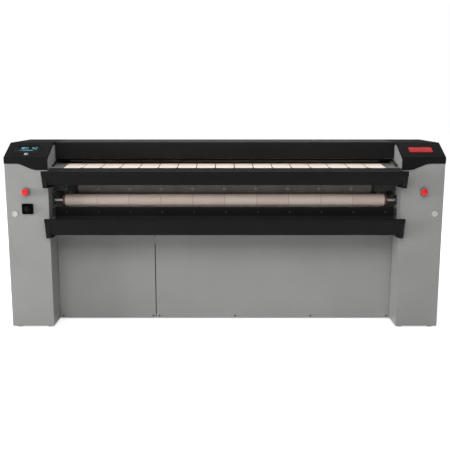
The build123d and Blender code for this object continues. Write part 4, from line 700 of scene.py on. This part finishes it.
# Screws of the side and back sheets: low heads along their edges
sheetScrew = dict(radius=0.0055, thickness=0.0022, inset=0.020, sideHeights=(0.10, 0.38, 0.66, 0.94),
                  sideFoot=0.045, sideDepths=(0.06, 0.33), panelHeights=(0.10, 0.36, 0.62, 0.88),
                  panelAcross=(-0.72, -0.36, 0, 0.36, 0.72), columnHeights=(0.06, 0.36, 0.66, 0.93))
rearLow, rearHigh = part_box("rear_panel")
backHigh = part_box("column_backs")[1]
inset = sheetScrew["inset"]
backPlaces = [(across, rearHigh.y, rearLow.z + inset) for across in sheetScrew["panelAcross"]]
for side, outward in (("left", -1), ("right", 1)):
    columnLow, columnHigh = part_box(side + "_column")
    outerWall, innerWall = (columnLow.x, columnHigh.x) if outward < 0 else (columnHigh.x, columnLow.x)
    sidePlaces = [(outerWall, columnHigh.y - inset, height) for height in sheetScrew["sideHeights"]]
    sidePlaces += [(outerWall, columnLow.y + depth, sheetScrew["sideFoot"]) for depth in sheetScrew["sideDepths"]]
    setScrews(side + "SideScrews", sidePlaces, (0, outward * math.pi / 2, 0), sheetScrew["radius"],
              sheetScrew["thickness"])
    backPlaces += [(outward * (rearHigh.x - inset), rearHigh.y, height) for height in sheetScrew["panelHeights"]]
    backPlaces += [(across, backHigh.y, height) for height in sheetScrew["columnHeights"]
                   for across in (outerWall - outward * inset, innerWall + outward * inset)]
setScrews("backScrews", backPlaces, faceBack, sheetScrew["radius"], sheetScrew["thickness"])

# Low domed heads of the stripper plate
domeHead = dict(radius=0.0125, thickness=0.0042, sides=24, apart=0.05,
                steps=((0.18, 1.0), (0.30, 0.95), (0.24, 0.86), (0.16, 0.76), (0.08, 0.6), (0.04, 0.4)))
tree, start, end, identifiers = newTree("stripperHeads", ("radius", "thickness"))
head = grownHead(tree, start, domeHead["steps"], domeHead["sides"])
setOnPoints(tree, start, end, head, faceFront, materials["stripperHead"])
places = [place for place, size in headPlaces("stripper_buttons", domeHead["apart"])]
growPiece("stripperHeads", places, tree, identifiers,
          dict(radius=domeHead["radius"], thickness=domeHead["thickness"]), "machine", "chromed_steel",
          "stripper_buttons")


def repeatMesh(name, mesh, places, finish, body, slot):
    # a mesh made at the origin, set on every place
    pattern = bpy.data.objects.new(name + "Pattern", mesh)
    tree, start, end, identifiers = newTree(name, ("size",))
    source = tree.nodes.new("GeometryNodeObjectInfo")
    source.inputs["Object"].default_value = pattern
    sized = tree.nodes.new("GeometryNodeTransform")
    tree.links.new(source.outputs["Geometry"], sized.inputs["Geometry"])
    tree.links.new(start.outputs["size"], sized.inputs["Scale"])
    setOnPoints(tree, start, end, sized.outputs["Geometry"], (0, 0, 0), materials[finish])
    growPiece(name, places, tree, identifiers, dict(size=1.0), body, slot)
    bpy.data.objects.remove(pattern)


# Guides between the feed belts: a leaf behind the nose's edge, as (depth, half width, height), and a fin in the gap
beltGuide = dict(count=16, leafThick=0.0014, leafEdge=0.8, finHalf=0.0017,
                 leaf=((-0.0020, 0.0072, -0.0010), (0.0040, 0.0072, -0.0004), (0.0150, 0.0060, 0.0001),
                       (0.0270, 0.0040, 0.0006), (0.0340, 0.0014, 0.0010)),
                 fin=((0.0035, -0.0015), (0.0300, -0.0003), (0.0240, -0.0110), (0.0075, -0.0110)))


def guideMesh():
    vertices = []
    for along, half, top in beltGuide["leaf"]:
        low, edge = top - beltGuide["leafThick"], half * beltGuide["leafEdge"]
        vertices += [(-half, along, low), (-edge, along, top), (edge, along, top), (half, along, low)]
    faces = ringFaces(0, 4, len(beltGuide["leaf"])) + ringFaces(len(vertices), len(beltGuide["fin"]), 2)
    vertices += [(x, along, height) for x in (-beltGuide["finHalf"], beltGuide["finHalf"])
                 for along, height in beltGuide["fin"]]
    return closedMesh("beltGuide", vertices, faces)


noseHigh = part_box("feed_nose")[1]
guidePlaces = [(step * feedBelt["pitch"], noseHigh.y, noseHigh.z) for step in centred(beltGuide["count"])]
repeatMesh("beltGuides", guideMesh(), guidePlaces, "guideMoulding", "machine", "black_plastic")


# Rolled hem under the stripper plate, close over the belts
hem = dict(foot=0.8345, bead=0.0024, half=0.0014, overlap=0.003, steps=16, middleHalf=0.926)


def runAcross(name, outline, spans):
    # a closed outline of depth and height, run between pairs of places across the machine
    vertices, faces = [], []
    for span in spans:
        faces += ringFaces(len(vertices), len(outline), 2)
        vertices += [(x, y, z) for x in span for y, z in outline]
    return closedMesh(name, vertices, faces)


plateLow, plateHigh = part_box("stripper_plate")
blockLow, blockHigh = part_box("stripper_blocks")
middleDepth, seatHeight = (plateLow.y + plateHigh.y) / 2, plateLow.z + hem["overlap"]
bead, meet = hem["bead"], math.pi - math.acos(hem["half"] / hem["bead"])
hemOutline = [(middleDepth - hem["half"], seatHeight)]
for step in range(hem["steps"] + 1):
    turn = meet + (3 * math.pi - 2 * meet) * step / hem["steps"]
    hemOutline.append((middleDepth + bead * math.cos(turn), hem["foot"] + bead * (1 + math.sin(turn))))
hemOutline.append((middleDepth + hem["half"], seatHeight))
hemSpans = ((-hem["middleHalf"], hem["middleHalf"]), (-plateHigh.x, blockLow.x), (blockHigh.x, plateHigh.x))
addPiece("plateHem", runAcross("plateHem", hemOutline, hemSpans), "stripperSheet", "machine", "brown_sheet")
print("hem rolled:", len(hemSpans), "lengths")


# Rubber seal in the seam between the two front panels: a lip in front, a stem in the seam and a flange behind
seal = dict(proud=0.0008, lipHalf=0.0028, stem=0.0054, flangeHalf=0.009, flangeThick=0.0024, foot=0.036,
            head=0.506, play=0.0001)
panelLow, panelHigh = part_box("left_front_panel")
seamLeft, seamRight, seamFace = panelHigh.x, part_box("right_front_panel")[0].x, panelLow.y
lip, flange, stemHalf = seal["lipHalf"], seal["flangeHalf"], (seamRight - seamLeft) / 2 - seal["play"]
seamBack, flangeBack = seamFace + seal["stem"], seamFace + seal["stem"] + seal["flangeThick"]
halfPlan = [(stemHalf, seamFace), (lip, seamFace), (lip * 0.75, seamFace - seal["proud"] * 0.8)]
flangePlan = [(stemHalf, seamBack), (flange, seamBack), (flange, flangeBack)]
sealPlan = [(-x, y) for x, y in halfPlan] + [(0, seamFace - seal["proud"])] + halfPlan[::-1]
sealPlan += flangePlan + [(-x, y) for x, y in flangePlan[::-1]]
seamMiddle = (seamLeft + seamRight) / 2
vertices = [(seamMiddle + x, y, z) for z in (seal["foot"], seal["head"]) for x, y in sealPlan]
faces = ringFaces(0, len(sealPlan), 2)
addPiece("panelSeal", closedMesh("panelSeal", vertices, faces), "sealRubber", "machine", "black_plastic")
print("panel seal set")


# Pressed louvres over the vent slots of the back
louvres = dict(rearWidth=0.108, columnWidth=0.128, tall=0.013, deep=0.0065, thick=0.0012, pitch=0.022,
               segments=20, arcs=6, rearAcross=14, rearRows=4, rearPitch=0.14, rearHeight=0.300,
               columnRows=9, columnHeight=0.780)


def louvreMesh(width):
    # a rounded hood, open below, whose ends close in a quarter round
    segments, arcs, tall, deep = (louvres[key] for key in ("segments", "arcs", "tall", "deep"))
    vertices, faces = [], []
    for shell in (0.0, louvres["thick"]):
        for segment in range(segments + 1):
            share = segment / segments * 2 - 1
            end = max(0.0, (abs(share) * width / 2 - (width / 2 - tall)) / tall)
            full = math.sqrt(max(0.0, 1 - end * end))
            for arc in range(arcs + 1):
                angle = math.pi / 2 * arc / arcs
                out = (deep - shell) * math.sin(angle) * full
                up = tall / 2 - (tall - shell) * (1 - math.cos(angle)) - shell * 0.5
                vertices.append((share * (width / 2 - shell), max(out, 0.0), up))
    stride = (segments + 1) * (arcs + 1)
    for segment in range(segments):
        for arc in range(arcs):
            a = segment * (arcs + 1) + arc
            b = a + arcs + 1
            faces.append((a, a + 1, b + 1, b))
            faces.append((stride + a, stride + b, stride + b + 1, stride + a + 1))
        last = segment * (arcs + 1) + arcs
        faces.append((last, stride + last, stride + last + arcs + 1, last + arcs + 1))
    mesh = bpy.data.meshes.new("louvre")
    mesh.from_pydata(vertices, [], faces)
    return mesh


def louvreRows(middles, height, rows, depth):
    return [(middle, depth, height + row * louvres["pitch"]) for middle in middles for row in centred(rows)]


columnMiddle = (outerWall + innerWall) / 2
rearMiddles = [step * louvres["rearPitch"] for step in centred(louvres["rearAcross"])]
rearPlaces = louvreRows(rearMiddles, louvres["rearHeight"], louvres["rearRows"], rearHigh.y)
columnPlaces = louvreRows((-columnMiddle, columnMiddle), louvres["columnHeight"], louvres["columnRows"], backHigh.y)
for name, width, places in (("rearLouvres", louvres["rearWidth"], rearPlaces),
                            ("columnLouvres", louvres["columnWidth"], columnPlaces)):
    repeatMesh(name, louvreMesh(width), places, "zincSheet", "machine", "zinc_sheet")


# Camera: the photograph's focal length in its own pixels, pitch in degrees, places in metres
view = dict(focalPixels=672.8, imagePixels=450.0, sensor=36.0, pitch=9.88, x=0.0012, back=4.095, height=1.370)
cameraData = bpy.data.cameras.new("camera")
cameraData.sensor_width = view["sensor"]
cameraData.lens = view["focalPixels"] / view["imagePixels"] * view["sensor"]
camera = bpy.data.objects.new("camera", cameraData)
camera.location = (view["x"], columnFront - view["back"], view["height"])
camera.rotation_euler = (math.radians(90 - view["pitch"]), 0, 0)
bpy.context.scene.collection.objects.link(camera)
bpy.context.scene.camera = camera


# Lamps: size in metres, power in watts, place and the point that each is turned to
lamps = {
    "keyLight": dict(size=(2.4, 2.2), power=52.0, place=(-5.6, -3.0, 3.2), target=(0.6, 0, 0.6)),
    "frontLight": dict(size=(5.0, 2.0), power=108.0, place=(-0.4, -4.2, 3.7), target=(0, 0, 0.6)),
    "highLight": dict(size=(5.0, 1.6), power=58.0, place=(0, -3.2, 4.8), target=(0, 0, 0.6)),
    "lowLight": dict(size=(2.0, 1.6), power=330.0, place=(-8.0, -2.4, 1.3), target=(1.0, 0, 0.7)),
    "topLight": dict(size=(5.0, 2.0), power=93.0, place=(0, 0.6, 4.2), target=(0, 0, 0.8)),
    "sideLight": dict(size=(2.5, 2.5), power=60.0, place=(6.0, 1.4, 2.4), target=(1.3, 0.2, 0.6)),
    "backLight": dict(size=(6.0, 1.6), power=72.0, place=(0, 5.2, 4.0), target=(0, 0.3, 0.6)),
}
for name, recipe in lamps.items():
    data = bpy.data.lights.new(name, "AREA")
    data.shape = "RECTANGLE"
    data.size, data.size_y = recipe["size"]
    data.energy = recipe["power"]
    lamp = bpy.data.objects.new(name, data)
    lamp.location = recipe["place"]
    aim = Vector(recipe["target"]) - Vector(recipe["place"])
    lamp.rotation_euler = aim.to_track_quat("-Z", "Y").to_euler()
    bpy.context.scene.collection.objects.link(lamp)
print("lamps:", len(lamps))


# Floor: pale and matt, white by itself far off, with room for the shadow near the machine
floorLook = dict(reach=30.0, paint=tone(236, 236, 236), roughness=0.9, specular=0.1, near=1.5, far=3.4,
                 nearGlow=0.62, farGlow=1.0)


def floorMaterial():
    material = bpy.data.materials.new("paleFloor")
    tree, shader = shaderOf(material)
    shader.inputs["Base Color"].default_value = floorLook["paint"]
    shader.inputs["Roughness"].default_value = floorLook["roughness"]
    shader.inputs["Specular IOR Level"].default_value = floorLook["specular"]
    path = tree.nodes.new("ShaderNodeLightPath")
    seen = addNode(tree, "ShaderNodeMath", operation="MAXIMUM")
    tree.links.new(path.outputs["Is Camera Ray"], seen.inputs[0])
    tree.links.new(path.outputs["Is Glossy Ray"], seen.inputs[1])
    away = addNode(tree, "ShaderNodeVectorMath", operation="LENGTH")
    tree.links.new(objectPoints(tree), away.inputs[0])
    glow = addNode(tree, "ShaderNodeMapRange")
    for socket, key in (("From Min", "near"), ("From Max", "far"), ("To Min", "nearGlow"), ("To Max", "farGlow")):
        glow.inputs[socket].default_value = floorLook[key]
    tree.links.new(away.outputs["Value"], glow.inputs["Value"])
    strength = addNode(tree, "ShaderNodeMath", operation="MULTIPLY")
    tree.links.new(glow.outputs["Result"], strength.inputs[1])
    tree.links.new(seen.outputs[0], strength.inputs[0])
    shader.inputs["Emission Color"].default_value = (1, 1, 1, 1)
    tree.links.new(strength.outputs[0], shader.inputs["Emission Strength"])
    return material


floorMesh = bpy.data.meshes.new("floor")
reach = floorLook["reach"]
corners = [(-reach, -reach, 0), (reach, -reach, 0), (reach, reach, 0), (-reach, reach, 0)]
floorMesh.from_pydata(corners, [], [(0, 1, 2, 3)])
floor = bpy.data.objects.new("floor", floorMesh)
floor.data.materials.append(floorMaterial())
bpy.context.scene.collection.objects.link(floor)

# World: white to the camera and through glass, a faint even light on the object
worldLook = dict(light=0.03, seen=1.0)
world = bpy.data.worlds.new("studio")
bpy.context.scene.world = world
world.use_nodes = True
worldTree = world.node_tree
background = worldTree.nodes["Background"]
background.inputs["Color"].default_value = (1, 1, 1, 1)
path = worldTree.nodes.new("ShaderNodeLightPath")
seen = addNode(worldTree, "ShaderNodeMath", operation="MAXIMUM")
worldTree.links.new(path.outputs["Is Camera Ray"], seen.inputs[0])
worldTree.links.new(path.outputs["Is Transmission Ray"], seen.inputs[1])
level = addNode(worldTree, "ShaderNodeMapRange")
level.inputs["To Min"].default_value = worldLook["light"]
level.inputs["To Max"].default_value = worldLook["seen"]
worldTree.links.new(seen.outputs[0], level.inputs["Value"])
worldTree.links.new(level.outputs["Result"], background.inputs["Strength"])

bpy.context.scene.view_settings.view_transform = "Standard"
print("stage set")
